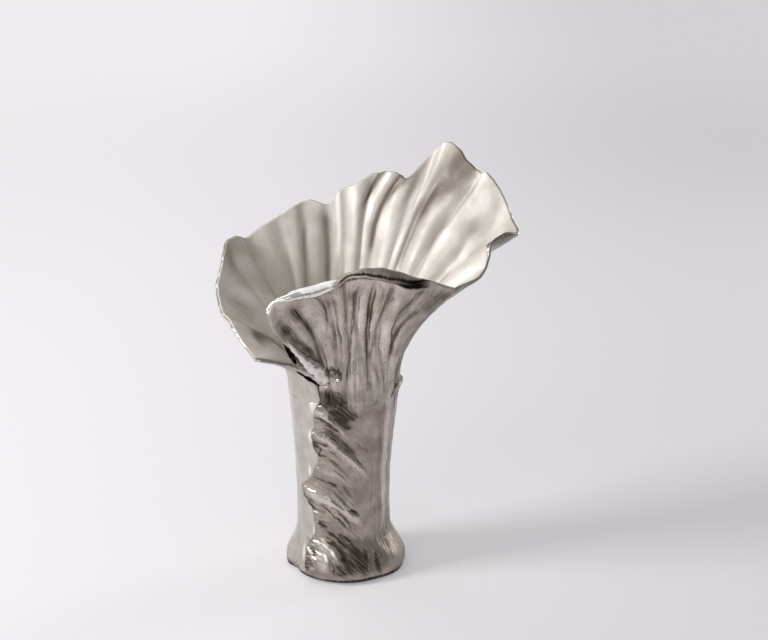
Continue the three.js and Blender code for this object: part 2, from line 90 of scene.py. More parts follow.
# Numbers


def smoothstep(value: Array, low: float, high: float) -> Array:
    """Eased share of the way from low to high."""
    share = np.clip((value - low) / (high - low), 0.0, 1.0)
    return share * share * (3.0 - 2.0 * share)


def lerp(start: Array, end: Array, share: Array) -> Array:
    """Value at a share of the way from start to end."""
    return start + (end - start) * share


def hill(value: Array, centre: float, half_width: float) -> Array:
    """Bell curve that is 1 at the centre."""
    return np.exp(-(((value - centre) / half_width) ** 2))


def wrapped(bearing: Array) -> Array:
    """Bearing from -180 up to 180."""
    return np.mod(np.asarray(bearing, float) + 180.0, 360.0) - 180.0


def around(bearing: Array, radius: Array) -> tuple[Array, Array]:
    """Places along x and y at a bearing and a radius."""
    angle = np.radians(bearing)
    return radius * np.cos(angle), radius * np.sin(angle)


def stacked(*values: Array) -> Array:
    """Values of each point side by side, spread over the same lattice."""
    return np.stack(np.broadcast_arrays(*values), axis=-1).astype(float)


def soft_table(value: Array, table: Points, blur: float) -> Array:
    """Table lookup with its corners rounded.

    Args:
        value: where to look.
        table: known places, each with its value.
        blur: half the width of the rounding.

    Returns:
        The value at each place.
    """
    known, given = np.array(table, float).T
    shifts = np.linspace(-1.0, 1.0, 7) * blur
    return sum(np.interp(value + shift, known, given) for shift in shifts) / len(shifts)


def curve_points(points: Array, places: Array) -> Array:
    """Catmull-Rom curve through points.

    Args:
        points: one row for each point.
        places: where on the curve, from 0 to 1 along the points' index.

    Returns:
        One row for each place.
    """
    last = len(points) - 1
    position = np.clip(np.asarray(places, float) * last, 0.0, last - 1e-9)
    index = position.astype(int)
    share = (position - index)[:, None]
    padded = np.concatenate([[2 * points[0] - points[1]], points, [2 * points[-1] - points[-2]]])
    before, start, end, after = (padded[index + step] for step in range(4))
    leave, arrive = (end - before) / 2, (after - start) / 2
    cubic = (2 * start - 2 * end + leave + arrive) * share**3
    square = (3 * end - 3 * start - 2 * leave - arrive) * share**2
    return cubic + square + leave * share + start


GRADIENTS = np.array(
    [axis for axis in itertools.product((-1.0, 0.0, 1.0), repeat=3) if sum(map(abs, axis)) == 2.0]
)
HASH_FACTORS = (0x9E3779B97F4A7C15, 0xC2B2AE3D27D4EB4F, 0x165667B19E3779F9)
HASH_STIR = 0xD6E8FEB86659FD93
NOISE_GAIN = 1.35
CREASE_GAIN = 2.2


def hashed(cells: Array, seed: int) -> Array:
    """Fixed random gradient of each lattice cell.

    Args:
        cells: three whole numbers for each cell.
        seed: number of the random field.

    Returns:
        The index of each cell's gradient.
    """
    value = np.uint64(seed * 7919 + 17)
    for axis, factor in enumerate(HASH_FACTORS):
        value = value ^ cells[..., axis].astype(np.uint64) * np.uint64(factor)
    value ^= value >> np.uint64(31)
    value *= np.uint64(HASH_STIR)
    value ^= value >> np.uint64(32)
    return (value % np.uint64(len(GRADIENTS))).astype(int)


def noise(*axes: Array, seed: int) -> Array:
    """Smooth gradient noise.

    Args:
        axes: up to three coordinates.
        seed: number of the random field.

    Returns:
        A value from about -1 to 1 for each point.
    """
    filled = [np.asarray(axis, float) for axis in axes]
    filled += [np.zeros(1)] * (3 - len(filled))
    points = stacked(*filled)
    cell = np.floor(points)
    local = points - cell
    ease = local**3 * (local * (local * 6.0 - 15.0) + 10.0)
    total = np.zeros(points.shape[:-1])
    for corner in itertools.product((0, 1), repeat=3):
        offset = np.array(corner)
        gradient = GRADIENTS[hashed((cell + offset).astype(np.int64), seed)]
        weight = np.prod(np.where(offset > 0, ease, 1.0 - ease), axis=-1)
        total += weight * np.sum(gradient * (local - offset), axis=-1)
    return total * NOISE_GAIN


@dataclass(frozen=True)
class Waves:
    """Layer of noise: its strength, its lengths in up to three directions and its seed."""

    strength: float
    lengths: tuple[float, ...]
    seed: int

    def at(self, *place: Array) -> Array:
        """Smooth waves to both sides of 0."""
        scaled = (axis / length for axis, length in zip(place, self.lengths))
        return self.strength * noise(*scaled, seed=self.seed)

    def crests(self, *place: Array, middle: float = 0.0) -> Array:
        """Sharp crests that stand over a middle level.

        Args:
            place: up to three coordinates.
            middle: what is taken off before the strength.

        Returns:
            The height at each point.
        """
        scaled = (axis / length for axis, length in zip(place, self.lengths))
        crease = 1.0 - np.minimum(np.abs(noise(*scaled, seed=self.seed)) * CREASE_GAIN, 1.0)
        return self.strength * (crease - middle)


def row_lengths(points: Array, axis: int) -> Array:
    """Distance travelled along one axis of a lattice of points, from its first line."""
    travelled = np.cumsum(np.linalg.norm(np.diff(points, axis=axis), axis=-1), axis=axis)
    return np.concatenate([np.zeros_like(np.take(travelled, [0], axis=axis)), travelled], axis=axis)


def lattice_normals(points: Array) -> Array:
    """Unit normals of a lattice of points: columns crossed with rows."""
    normal = np.cross(np.gradient(points, axis=1), np.gradient(points, axis=0))
    return normal / np.maximum(np.linalg.norm(normal, axis=-1, keepdims=True), 1e-12)


def edge_share(distance: Array, radius: float) -> Array:
    """Share of the full thickness at a distance from a rounded edge."""
    reach = np.clip(distance / radius, 0.0, 1.0)
    return np.sqrt(np.maximum(1.0 - (1.0 - reach) ** 2, 0.0))


def spaced(length: float, count: int, first: Edge, last: Edge) -> Array:
    """Shares of a length, with fine steps next to both ends and even ones between.

    Args:
        length: the whole length.
        count: number of the even ones.
        first: how the sheet starts.
        last: how it ends.

    Returns:
        The shares from 0 to 1.
    """
    start = np.array(first.value) / length
    end = 1.0 - np.array(last.value)[::-1] / length
    return np.concatenate([start, np.linspace(start[-1], end[0], count)[1:-1], end])


# Shape of the trunk


@dataclass(frozen=True)
class TrunkShape:
    """Outline of the trunk: places of its axis and outer radii at the foot, the waist and the neck."""

    plate_top: float = 4.2
    tube_top: float = 163.6
    neck_height: float = 166.0
    waist_height: float = 58.0
    shifts: tuple[float, float, float] = (0.9, -2.1, -1.2)
    radii: tuple[float, float, float] = (50.6, 39.9, 47.7)
    foot_flare: Span = (9.0, 43.0)
    neck_flare: float = 1.6
    highest: float = 1.06
    tube_wall: float = 3.0
    lap: float = 4.1
    panel_back_edge: float = 150.0
    panel_top_edge: float = -112.0
    panel_blend: float = 8.0
    arc_radius: float = 44.0

    def outline(self, height: Array, foot: float, waist: float, neck: float) -> Array:
        """Value that follows the trunk's outline.

        Args:
            height: where to take it.
            foot: its value at the foot.
            waist: its value at the waist.
            neck: its value at the neck.

        Returns:
            The value at each height.
        """
        climb = (height - self.waist_height) / (self.neck_height - self.waist_height)
        opened = np.clip(climb, 0.0, self.highest) ** self.neck_flare
        spread = 1.0 - smoothstep(height, *self.foot_flare)
        return waist + (foot - waist) * spread + (neck - waist) * opened

    def axis(self, height: Array) -> Array:
        """Sideways place of the tube's axis."""
        return self.outline(height, *self.shifts) - self.lap / 2

    def radius(self, height: Array) -> Array:
        """Outer radius of the plain tube."""
        return self.outline(height, *self.radii) - self.lap / 2

    def lap_share(self, bearing: Array) -> Array:
        """How fully the panel lies over the neck.

        Args:
            bearing: where to look.

        Returns:
            0 where the tube is bare and 1 under the whole panel.
        """
        turned = wrapped(bearing)
        front = smoothstep(turned, self.panel_top_edge, self.panel_top_edge + self.panel_blend)
        back = 1.0 - smoothstep(turned, self.panel_back_edge - self.panel_blend, self.panel_back_edge)
        return front * back

    def neck(self, bearing: Array) -> Array:
        """Outer radius of the neck, flush with the panel."""
        return self.radius(np.array(self.neck_height)) + self.lap * self.lap_share(bearing)

    def arc(self, bearing: Array) -> Array:
        """Distance round the trunk to a bearing."""
        return np.radians(bearing) * self.arc_radius

    def place(self, bearing: Array, radius: Array, height: Array) -> Array:
        """Points round the tube's axis."""
        x, y = around(bearing, radius)
        return stacked(self.axis(height) + x, y, height)


TRUNK = TrunkShape()


@dataclass(frozen=True)
class FootLobe:
    """Bulge or notch in the foot's edge that fades out between two heights."""

    bearing: float
    half_width: float
    rise: float
    fade: Span

    def at(self, bearing: Array, height: Array) -> Array:
        """Rise at each point."""
        whole = self.rise * hill(bearing, self.bearing, self.half_width)
        return whole * (1.0 - smoothstep(height, *self.fade))


@dataclass(frozen=True)
class TrunkSkin:
    """Unevenness of the cast trunk."""

    lobes: tuple[FootLobe, ...] = (
        FootLobe(184.0, 15.0, 3.0, (14.0, 30.0)),
        FootLobe(203.0, 9.0, -2.6, (8.0, 24.0)),
    )
    wander: Waves = Waves(1.3, (1.0, 1.0, 60.0), 3)
    wander_radius: float = 1.7
    wander_fade: Span = (6.0, 42.0)
    lumps: tuple[Waves, ...] = (
        Waves(0.7, (13.0, 13.0, 75.0), 5),
        Waves(0.22, (4.5, 4.5, 55.0), 6),
        Waves(0.25, (7.0, 7.0, 9.0), 7),
    )
    lump_radius: float = 45.0
    ribs: Waves = Waves(1.0, (8.0, 8.0, 160.0), 11)
    rib_radius: float = 46.0
    rib_start: Span = (143.0, 160.0)

    def foot(self, bearing: Array, height: Array) -> Array:
        """Uneven outline of the cast foot.

        Args:
            bearing: where round the trunk.
            height: how far up.

        Returns:
            What is added to the radius.
        """
        low = 1.0 - smoothstep(height, *self.wander_fade)
        wander = low * self.wander.at(*around(bearing, self.wander_radius), height)
        turned = np.mod(np.asarray(bearing, float), 360.0)
        return sum((lobe.at(turned, height) for lobe in self.lobes), start=wander)

    def bark(self, bearing: Array, height: Array) -> Array:
        """Soft upright unevenness."""
        x, y = around(bearing, self.lump_radius)
        return sum(layer.at(x, y, height) for layer in self.lumps)

    def flutes(self, bearing: Array, height: Array) -> Array:
        """Narrow upright ribs where the leaves grow out of the neck."""
        ribs = self.ribs.crests(*around(bearing, self.rib_radius), height) ** 1.5
        return (ribs - 0.35) * smoothstep(height, *self.rib_start)


SKIN = TrunkSkin()


# Relief of the lapped panel


@dataclass(frozen=True)
class Spot:
    """Soft spot on the trunk, in degrees of bearing and millimetres of height."""

    bearing: float
    height: float
    half_bearing: float
    half_height: float
    amount: float

    def at(self, bearing: Array, height: Array) -> Array:
        """Amount of the spot at each point."""
        sideways = hill(bearing, self.bearing, self.half_bearing)
        return self.amount * sideways * hill(height, self.height, self.half_height)


@dataclass(frozen=True)
class Stroke:
    """Ridge or groove drawn on the panel, with its course as bearing and height of each point.

    A positive stain_and_shade is dark patina, in a few strokes painted shade, and a negative one is metal
    worn bright, in a few strokes a painted highlight.
    """

    half_width: float
    rise: float
    stain_and_shade: float
    course: Points

    def at(self, arc: Array, height: Array) -> Array:
        """Share of the stroke: 1 on its course, narrower and fainter towards both ends.

        Args:
            arc: distance round the trunk.
            height: how far up.

        Returns:
            The share at each point.
        """
        points = np.array(self.course, float)
        points[:, 0] = TRUNK.arc(points[:, 0])
        lengths = np.linalg.norm(np.diff(points, axis=0), axis=1)
        begins = np.concatenate([[0.0], np.cumsum(lengths)])
        nearest = np.full(arc.shape, np.inf)
        travelled = np.zeros(arc.shape)
        for start, end, length, begin in zip(points[:-1], points[1:], lengths, begins):
            aim = (end - start) / length
            along = np.clip((arc - start[0]) * aim[0] + (height - start[1]) * aim[1], 0.0, length)
            distance = np.hypot(arc - start[0] - along * aim[0], height - start[1] - along * aim[1])
            closer = distance < nearest
            nearest = np.where(closer, distance, nearest)
            travelled = np.where(closer, (begin + along) / begins[-1], travelled)
        ends = np.clip(3.5 * np.minimum(travelled + 0.08, 1.04 - travelled), 0.0, 1.0)
        width = self.half_width * (0.55 + 0.45 * ends)
        core, skirt = hill(nearest, 0.0, width), hill(nearest, 0.0, 2.4 * width)
        return (0.75 * core + 0.25 * skirt) * ends**0.6


def marks(kind: type, *rows: Points) -> tuple:
    """Marks of one kind, from rows of a mark's measures and the points of its course."""
    return tuple(kind(*measures, tuple(course)) for measures, *course in rows)


# Half width, rise and stain_and_shade of each stroke, then its course
PANEL_STROKES = marks(
    Stroke,
    # The first stroke is a painted reflection: a bright strip down the right edge.
    ((2.6, 0.8, -1.0), (-33, 172), (-32, 120), (-30.5, 80), (-29, 52), (-30, 42)),
    ((1.3, -0.7, 0.3), (-39.5, 165), (-39, 120), (-38, 80), (-37, 50)),
    ((1.4, -0.6, 0.9), (-110, 176.1), (-111.8, 168.6), (-113.2, 161.9)),
    ((1.3, -1.0, 0.85), (-120, 151.6), (-114.4, 150.6), (-109, 150.3), (-102.9, 146.2), (-96.8, 142.8),
        (-91.8, 140.2), (-86.7, 135.4)),
    ((1.2, -1.0, 0.8), (-117.3, 140.8), (-110.6, 138.9), (-104.2, 137.7), (-99, 134.3), (-93.9, 130.8),
        (-86.6, 125.1), (-76.8, 118.1), (-67.5, 109.7), (-57.2, 100.6)),
    ((2.8, -0.5, 0.72), (-108.2, 143.9), (-100, 139.9), (-93.8, 135.4), (-85.6, 128.9), (-77, 121),
        (-68, 112)),
    ((1.0, -0.4, 0.4), (-84.4, 124.1), (-76.9, 120.9), (-66.5, 113.3)),
    ((1.7, -1.2, 1.0), (-124.1, 131.3), (-123.4, 123.9), (-118.7, 119.1), (-114.1, 115.1)),
    ((1.2, -0.6, 0.85), (-121.7, 129.8), (-115.9, 125.1), (-111.4, 122)),
    ((1.0, -0.8, 0.85), (-119.3, 129.3), (-111.2, 127.6), (-104.6, 126.4), (-99.2, 125.9)),
    ((1.0, -0.4, 0.9), (-106, 116), (-114, 116), (-111.5, 121), (-110.1, 125.9)),
    ((0.9, -0.6, 0.7), (-104.9, 115.2), (-99.4, 112.7), (-94, 110.1), (-88.6, 107.3)),
    ((0.9, -0.5, 0.5), (-101.4, 122), (-95, 118.5), (-89.7, 113.9), (-85.4, 111)),
    ((1.1, -0.7, 0.75), (-122.8, 95.9), (-115.1, 94.3), (-107.9, 92.3), (-101, 90.1), (-94.2, 88.5)),
    ((2.0, -0.4, 0.85), (-104.4, 92.6), (-97.5, 90.2), (-93.1, 87.6)),
    ((0.8, -0.4, 0.5), (-72.9, 129), (-67.1, 124.6), (-59.8, 120.7), (-54.5, 117)),
    # Painted shade: dark along the seam's side below the biggest ridge
    ((2.2, -1.6, 1.0), (-141.2, 81.6), (-139.9, 75.4), (-133.3, 70.3), (-125.8, 66.2), (-118.8, 64.6)),
    ((1.9, -0.3, 0.6), (-134.7, 73.8), (-125.5, 72.9), (-118.7, 69.3)),
    ((1.0, -0.4, 0.55), (-123, 63.9), (-113.6, 64.4), (-105, 64.4)),
    ((0.9, -0.9, 0.8), (-118.6, 70.3), (-111, 69.4), (-103.7, 66.4), (-96.8, 61.2), (-89.8, 56.6),
        (-82.9, 50.9), (-78.3, 46.9)),
    ((1.1, -0.9, 0.8), (-99, 69.5), (-92.1, 66), (-86.4, 60.3), (-80.6, 55.5), (-75.9, 47.7), (-73.6, 44.7)),
    ((0.8, -0.4, 0.55), (-84.1, 58.4), (-75.9, 53.3), (-68.7, 47.9)),
    ((1.0, -0.5, 0.65), (-86.3, 88.5), (-81.8, 84.6), (-77.2, 80.5)),
    ((0.9, -0.7, 0.55), (-106.8, 87.7), (-97.6, 83.7), (-89.7, 78.2), (-84, 73.4), (-79.4, 68.5)),
    ((1.6, -1.0, 1.0), (-79.4, 67.5), (-73.5, 64.3), (-67.4, 61.7)),
    ((1.9, -1.0, 1.0), (-116.4, 53.8), (-110.1, 50.9), (-104, 49.6)),
    ((1.5, -1.0, 0.95), (-106.4, 47.5), (-100.5, 44.2), (-92.4, 39.1), (-86.1, 34.9), (-80.1, 31.5)),
    ((1.4, -0.9, 0.95), (-93.4, 45.4), (-86.5, 41.7), (-79.9, 38), (-74.5, 35.9)),
    ((1.9, -1.0, 0.95), (-107.7, 37.4), (-99.5, 35.5), (-93.1, 32.5), (-89.3, 28.6), (-86.1, 23.2),
        (-83.3, 16.8)),
    ((1.0, -0.5, 0.55), (-114, 41.1), (-107.7, 40), (-101.8, 37.9)),
    ((3.4, -0.6, 0.85), (-89.3, 28.6), (-86.4, 21.6), (-83.7, 13.5), (-81.2, 8.8)),
    ((4.2, -0.6, 0.9), (-77.3, 33.7), (-73.2, 25.5), (-71.5, 17.5), (-68.7, 9.3)),
    ((2.1, -0.6, 0.85), (-64.7, 30.1), (-64.4, 22.9), (-66, 15.1)),
    ((2.4, -0.8, 0.9), (-53, 26.6), (-53.8, 21.1), (-54.2, 14.5), (-52.7, 6.8)),
    ((2.9, -0.5, 0.9), (-95.5, 19.2), (-91.2, 13.6), (-86.7, 10)),
    ((1.5, -0.6, 0.75), (-101.3, 22.1), (-98.6, 16.7), (-99.7, 10.6)),
    ((0.8, -0.5, 0.6), (-105.4, 27.2), (-101.3, 21.3), (-101.5, 14.8)),
    ((1.4, -0.8, 0.75), (-129.1, 31), (-121.5, 26.8), (-117.3, 22.7)),
    ((2.2, -0.6, 0.9), (-131.3, 18.3), (-128.1, 14.8), (-126.6, 9.9)),
    ((2.2, -0.6, 0.7), (-130.3, 25.1), (-126.4, 19.4), (-119.9, 14)),
    ((1.0, -0.6, 0.9), (-98.5, 167), (-94.7, 162.5), (-89.8, 157.9), (-84.9, 154.1)),
    ((1.2, -0.6, 0.9), (-102.6, 159.3), (-97.6, 156.8), (-91.8, 154.2), (-85.9, 153.2)),
    ((1.0, -0.5, 0.85), (-95.6, 169), (-89.9, 166.3), (-84.1, 162.5), (-80.1, 158.5)),
    ((1.4, -0.3, 0.85), (-87, 169), (-83.2, 165.2)),
    ((2.5, -0.6, 0.95), (-93.7, 152.3), (-87.8, 147.6), (-82.7, 143.7), (-76.5, 141.5)),
    ((3.4, -0.4, 0.95), (-85.9, 157.9), (-79, 153.8), (-70.7, 152.2)),
    ((0.8, -0.4, 0.65), (-94.6, 172.7), (-88.9, 170.9), (-83.3, 168.9)),
    ((0.7, -0.4, 0.65), (-93.6, 176.3), (-88, 173.7)),
    ((1.7, -0.2, 0.45), (-107, 177.3), (-100.3, 174.3), (-95.6, 169.9)),
    ((1.1, -0.3, 0.45), (-108.2, 170), (-103.4, 163.9), (-101.6, 158.4)),
    ((1.5, -0.5, 0.35), (-34.6, 70.2), (-34.1, 49.4), (-43.9, 29.5)),
    ((1.4, -0.3, 0.25), (-53, 114.8), (-48.1, 90.4), (-46.8, 66.6)),
    ((2.2, 1.7, -0.7), (-118.5, 156.5), (-109.9, 154.9), (-99.8, 150.2), (-91.8, 143), (-84.6, 137.3),
        (-78.3, 131.3)),
    ((3.2, 1.9, -0.7), (-121.2, 136.5), (-113.1, 134), (-102.3, 131.3), (-93.9, 126.1), (-85.4, 119.5),
        (-76.7, 112.5), (-67.3, 104), (-59.5, 94.4)),
    ((1.7, 0.8, -0.3), (-109.1, 123.2), (-100.4, 120.2), (-92.9, 115.8), (-84.3, 109.1), (-76.4, 101.2)),
    ((2.0, 0.8, -0.3), (-111.9, 111.6), (-102.8, 109.7), (-93, 105.4)),
    ((3.6, 1.2, -0.4), (-114.7, 102.8), (-103, 101.2), (-91.9, 98.9), (-83, 93.1), (-73.7, 85)),
    ((1.5, 0.8, -0.3), (-124.5, 90), (-110.4, 87.4), (-98.8, 82.7), (-88.6, 75.4)),
    ((4.4, 2.4, -0.8), (-135.9, 81), (-123.7, 78.8), (-110.8, 76), (-96.6, 71.5), (-82.9, 64.9),
        (-71.1, 57.5), (-62.3, 48.9)),
    ((2.7, 0.9, -0.3), (-103.8, 63.6), (-94.5, 56.6), (-86.4, 50.1), (-80.7, 43.3)),
    ((2.4, 1.4, -0.7), (-121.6, 35.6), (-108.8, 33.2), (-100.9, 29.9), (-95, 24.7), (-91.6, 19.3),
        (-87.4, 14.4)),
    ((0.8, 0.5, -0.8), (-91.1, 23.2), (-88.8, 18.5), (-83.8, 12.6), (-80.2, 7.8)),
    ((0.8, 0.5, -0.6), (-78.6, 21.3), (-75.7, 16.3), (-71.5, 11.5)),
    ((0.8, 0.6, -0.7), (-58.7, 27.6), (-61.9, 21), (-65.3, 13.2)),
    ((0.7, 0.4, -0.6), (-100, 26.8), (-96.2, 22.3), (-91.8, 17.7)),
    ((0.6, 0.4, -0.6), (-98.2, 39.8), (-92.6, 36.5), (-87.6, 32.5)),
    ((0.6, 0.4, -0.5), (-88.8, 42.7), (-82.2, 38.1), (-79.6, 33.8)),
    ((0.5, 0.4, -0.6), (-98.5, 166.1), (-93.7, 160.7)),
    ((0.5, 0.4, -0.6), (-95.7, 156.9), (-88.8, 154.2)),
)


@dataclass(frozen=True)
class PanelRelief:
    """Diagonal ridges, pits and patina of the lapped panel, with some painted shade and painted highlights.
    """

    turn_bearing: float = -101.0
    turn_span: float = 7.0
    fall: float = 6.3
    ridge_reach: float = -50.0
    ridge_fade: float = 38.0
    seam_blur: float = 2.0
    seam_jag: Waves = Waves(0.8, (4.0, 1.0), 21)
    reach_wander: Waves = Waves(12.0, (22.0, 1.0), 22)
    flow_bend: Waves = Waves(1.8, (17.0, 17.0), 23)
    threads: tuple[Waves, ...] = (Waves(0.6, (5.2, 30.0), 24), Waves(0.3, (2.1, 14.0), 25))
    knobs: Waves = Waves(0.35, (7.0, 7.0), 26)
    scratches: Waves = Waves(0.6, (1.8, 7.0), 27)
    plain: Waves = Waves(0.25, (5.0, 12.0), 28)
    stroke_jag: Waves = Waves(0.5, (4.0, 4.0), 29)
    stroke_rise: Waves = Waves(0.7, (4.5, 4.5), 30)
    upright: Waves = Waves(0.4, (3.4, 70.0), 32)
    veins: Waves = Waves(1.0, (2.5, 21.0), 33)
    vein_patches: Waves = Waves(1.0, (9.0, 8.0), 34)
    hatched: Spot = Spot(-88.0, 157.0, 15.0, 14.0, 1.0)
    calmed: Spot = Spot(-108.5, 20.0, 10.0, 11.0, 0.8)
    # Height and bearing of the ragged edge
    seam: Points = (
        (4, -131), (13, -133), (19, -133.5), (30, -133.5), (35, -129), (40, -124.4), (47, -122.6),
        (55, -124.6), (63, -126), (69, -134.8), (75.5, -143.6), (83, -143.5), (91, -132.8), (96.5, -126),
        (102, -122.6), (108, -117.7), (115, -115.6), (121, -123), (133, -124.7), (141, -120.4), (153, -120),
        (164, -113), (177, -111),
    )
    swells: tuple[Spot, ...] = (
        Spot(-108.5, 20, 11, 11, 2.0),
        Spot(-124, 18, 8, 12, 0.8),
        Spot(-88, 156, 12, 9, -0.5),
        Spot(-30, 22, 14, 12, 0.3),
    )
    stains_and_shades: tuple[Spot, ...] = (
        Spot(-88, 156, 13, 12, 0.62),
        Spot(-98, 169, 11, 8, 0.62),
        Spot(-103, 177, 9, 7, 0.5),
        # Painted shade over the foot's right
        Spot(-32, 24, 13, 13, 0.22),
        Spot(-78, 21, 17, 13, 0.72),
        # Painted shadow: a black line under the raised front-left of the foot
        Spot(-124, 4.6, 9, 2.0, 1.3),
        Spot(-122, 17, 6, 11, 0.45),
        # Painted highlight on the foot's bulge
        Spot(-108.5, 20, 8, 9, -0.9),
        Spot(-86, 36, 14, 7, 0.3),
    )

    def seam_bearing(self, height: Array) -> Array:
        """Bearing of the panel's ragged edge."""
        return soft_table(height, self.seam, self.seam_blur) + self.seam_jag.at(height, 2.5)

    def flow(self, bearing: Array, height: Array) -> Array:
        """Coordinate that stays the same along a ridge: level at the seam, falling to the right."""
        past = np.clip((bearing - self.turn_bearing) / self.turn_span, -30.0, 30.0)
        return height + self.fall * np.log1p(np.exp(past))

    def bent_flow(self, bearing: Array, height: Array) -> Array:
        """Flow of the ridges with their own bends."""
        return self.flow(bearing, height) + self.flow_bend.at(TRUNK.arc(bearing), height)

    def ridged(self, bearing: Array, height: Array) -> Array:
        """How strongly the ridges stand.

        Args:
            bearing: where round the trunk.
            height: how far up.

        Returns:
            1 at the front, fading out to the right and under the neck.
        """
        reach = self.ridge_reach + self.reach_wander.at(height, 0.5)
        fade = np.clip((bearing - (reach - self.ridge_fade)) / self.ridge_fade, 0.0, 1.0)
        return (1.0 - fade * fade * (3.0 - 2.0 * fade)) * (1.0 - 0.75 * smoothstep(height, 158.0, 168.0))

    def drawn(self, bearing: Array, height: Array) -> tuple[Array, Array]:
        """All strokes together.

        Args:
            bearing: where round the trunk.
            height: how far up.

        Returns:
            Their relief, and their patina and painted shade, negative for worn bright metal and painted
            highlights.
        """
        bearing, height = np.broadcast_arrays(bearing, height)
        arc = TRUNK.arc(bearing)
        ragged = arc + self.stroke_jag.at(arc, height)
        uneven = height + self.stroke_rise.at(arc, height)
        rise, dark, polish = np.zeros((3, *arc.shape))
        for stroke in PANEL_STROKES:
            share = stroke.at(ragged, uneven)
            rise = rise + stroke.rise * share
            dark = np.maximum(dark, stroke.stain_and_shade * share)
            polish = np.maximum(polish, -stroke.stain_and_shade * share)
        return rise, dark - polish * (1.0 - dark)

    def height_at(self, bearing: Array, height: Array) -> Array:
        """Relief over the panel's plain surface.

        Args:
            bearing: where round the trunk.
            height: how far up.

        Returns:
            The relief at each point.
        """
        arc = TRUNK.arc(bearing)
        flow = self.bent_flow(bearing, height)
        threads = sum(layer.crests(flow, arc, middle=0.45) for layer in self.threads)
        scratches = self.scratches.crests(arc + height, arc - height, middle=0.5)
        scratches = scratches * self.hatched.at(bearing, height)
        swells = sum(swell.at(bearing, height) for swell in self.swells)
        upright = self.upright.at(arc, height) * smoothstep(bearing, -85.0, -50.0)
        upright = upright * smoothstep(height, 12.0, 40.0)
        rise, _ = self.drawn(bearing, height)
        own = rise + swells + scratches + self.plain.at(arc, height) + upright + SKIN.flutes(bearing, height)
        calm = 1.0 - self.calmed.at(bearing, height)
        return own + self.ridged(bearing, height) * calm * (threads + self.knobs.at(arc, height))

    def patina_at(self, bearing: Array, height: Array, relief: Array) -> Array:
        """Patina and polish of the strokes, the soft spots and the hollows, with painted shade and painted
        highlights among them.

        Args:
            bearing: where round the trunk.
            height: how far up.
            relief: relief of the surface there.

        Returns:
            1 for dark patina and painted shade down to -1 for bright polish and painted highlights.
        """
        _, drawn = self.drawn(bearing, height)
        soft = sum(stain_and_shade.at(bearing, height) for stain_and_shade in self.stains_and_shades)
        arc = TRUNK.arc(bearing)
        patches = smoothstep(self.vein_patches.at(arc, height), -0.25, 0.35)
        veins = smoothstep(self.veins.crests(self.bent_flow(bearing, height), arc), 0.62, 0.96) * patches
        hollow = (0.4 * smoothstep(-relief, 0.0, 1.2) + 0.5 * veins) * self.ridged(bearing, height)
        return np.clip(drawn + (soft + hollow) * (1.0 - np.abs(drawn)), -1.0, 1.0)


RELIEF = PanelRelief()


# Shape of the leaves

# Bearing, radius and height over the neck of each point, then the bearing, lean and turn of its rib's root
JOINT_RIB = (-27, 104, 100, -27, 47, 0)
BACK_RIM = (
    (-135, 101, 45, -109, 84, -34), (-144, 103, 58, -118, 76, -20), (-158, 104, 70, -138, 66, -8),
    (-172, 108, 82, -162, 52, 0), (-184, 105, 104, -180, 36, 0), (-193, 104, 119, -192, 26, 0),
    (-201, 101, 121, -200, 24, 0), (-208, 98, 117, -208, 30, 0), (-218, 91, 125, -218, 32, 0),
    (-232, 85, 135, -232, 30, 0), (-247, 83, 143, -247, 26, 0), (-259, 78, 139, -259, 24, 0),
    (-268, 82, 152, -268, 22, 0), (-277, 79, 157, -277, 22, 0), (-286, 87, 165, -286, 24, 0),
    (-299, 88, 168, -299, 24, 0), (-307, 89, 164, -307, 26, 0), (-311, 101, 175, -311, 26, 0),
    (-315, 113, 188, -316, 24, 0), (-319, 118, 194, -320, 26, 0), (-324, 120, 192, -325, 30, 0),
    (-330, 122, 182, -330, 34, 0), (-337, 128, 173, -336, 38, 0), (-341, 130, 175, -340, 40, 0),
    (-348, 138, 159, -346, 44, 0), (-355, 143, 142, -352, 50, 0), (-360, 147, 134, -357, 58, 0),
    (-365, 136, 138, -362, 50, 0), (-369, 126, 131, -367, 52, 0), (-373, 124, 119, -372, 58, 0),
    (-378, 118, 107, -378, 56, 0), (-387, 104, 100, -387, 47, 0),
)
FRONT_RIM = (
    JOINT_RIB,
    (-33, 96, 105, -32, 40, 0), (-38, 85, 109, -38, 36, 0), (-50, 73, 116, -49, 34, 0),
    (-64, 66, 121, -62, 34, 0), (-81, 64, 120, -75, 36, 0), (-95, 67, 113, -86, 40, 0),
    (-108, 73, 109, -94, 42, 0), (-119, 86, 105, -100, 40, 0), (-125, 96, 100, -104, 30, 0),
    (-127, 102, 92, -107, 12, 0),
)
CREST_CLIMBS = (0.0, 0.55, 0.75, 0.88, 1.0)


@dataclass(frozen=True)
class Crest:
    """Crest of a flute, with its bearing at each of the crest climbs."""

    depth: float
    bearings: tuple[float, ...]

    def course(self, climb: Array) -> Array:
        """Bearing of the crest at a climb."""
        return np.interp(climb, CREST_CLIMBS, self.bearings)


def crests(*rows: tuple[float, ...]) -> tuple[Crest, ...]:
    """Crests from their depth and their bearing at each climb, or the one bearing of a straight crest."""
    climbs = len(CREST_CLIMBS)
    return tuple(Crest(depth, (course * climbs)[:climbs]) for depth, *course in rows)


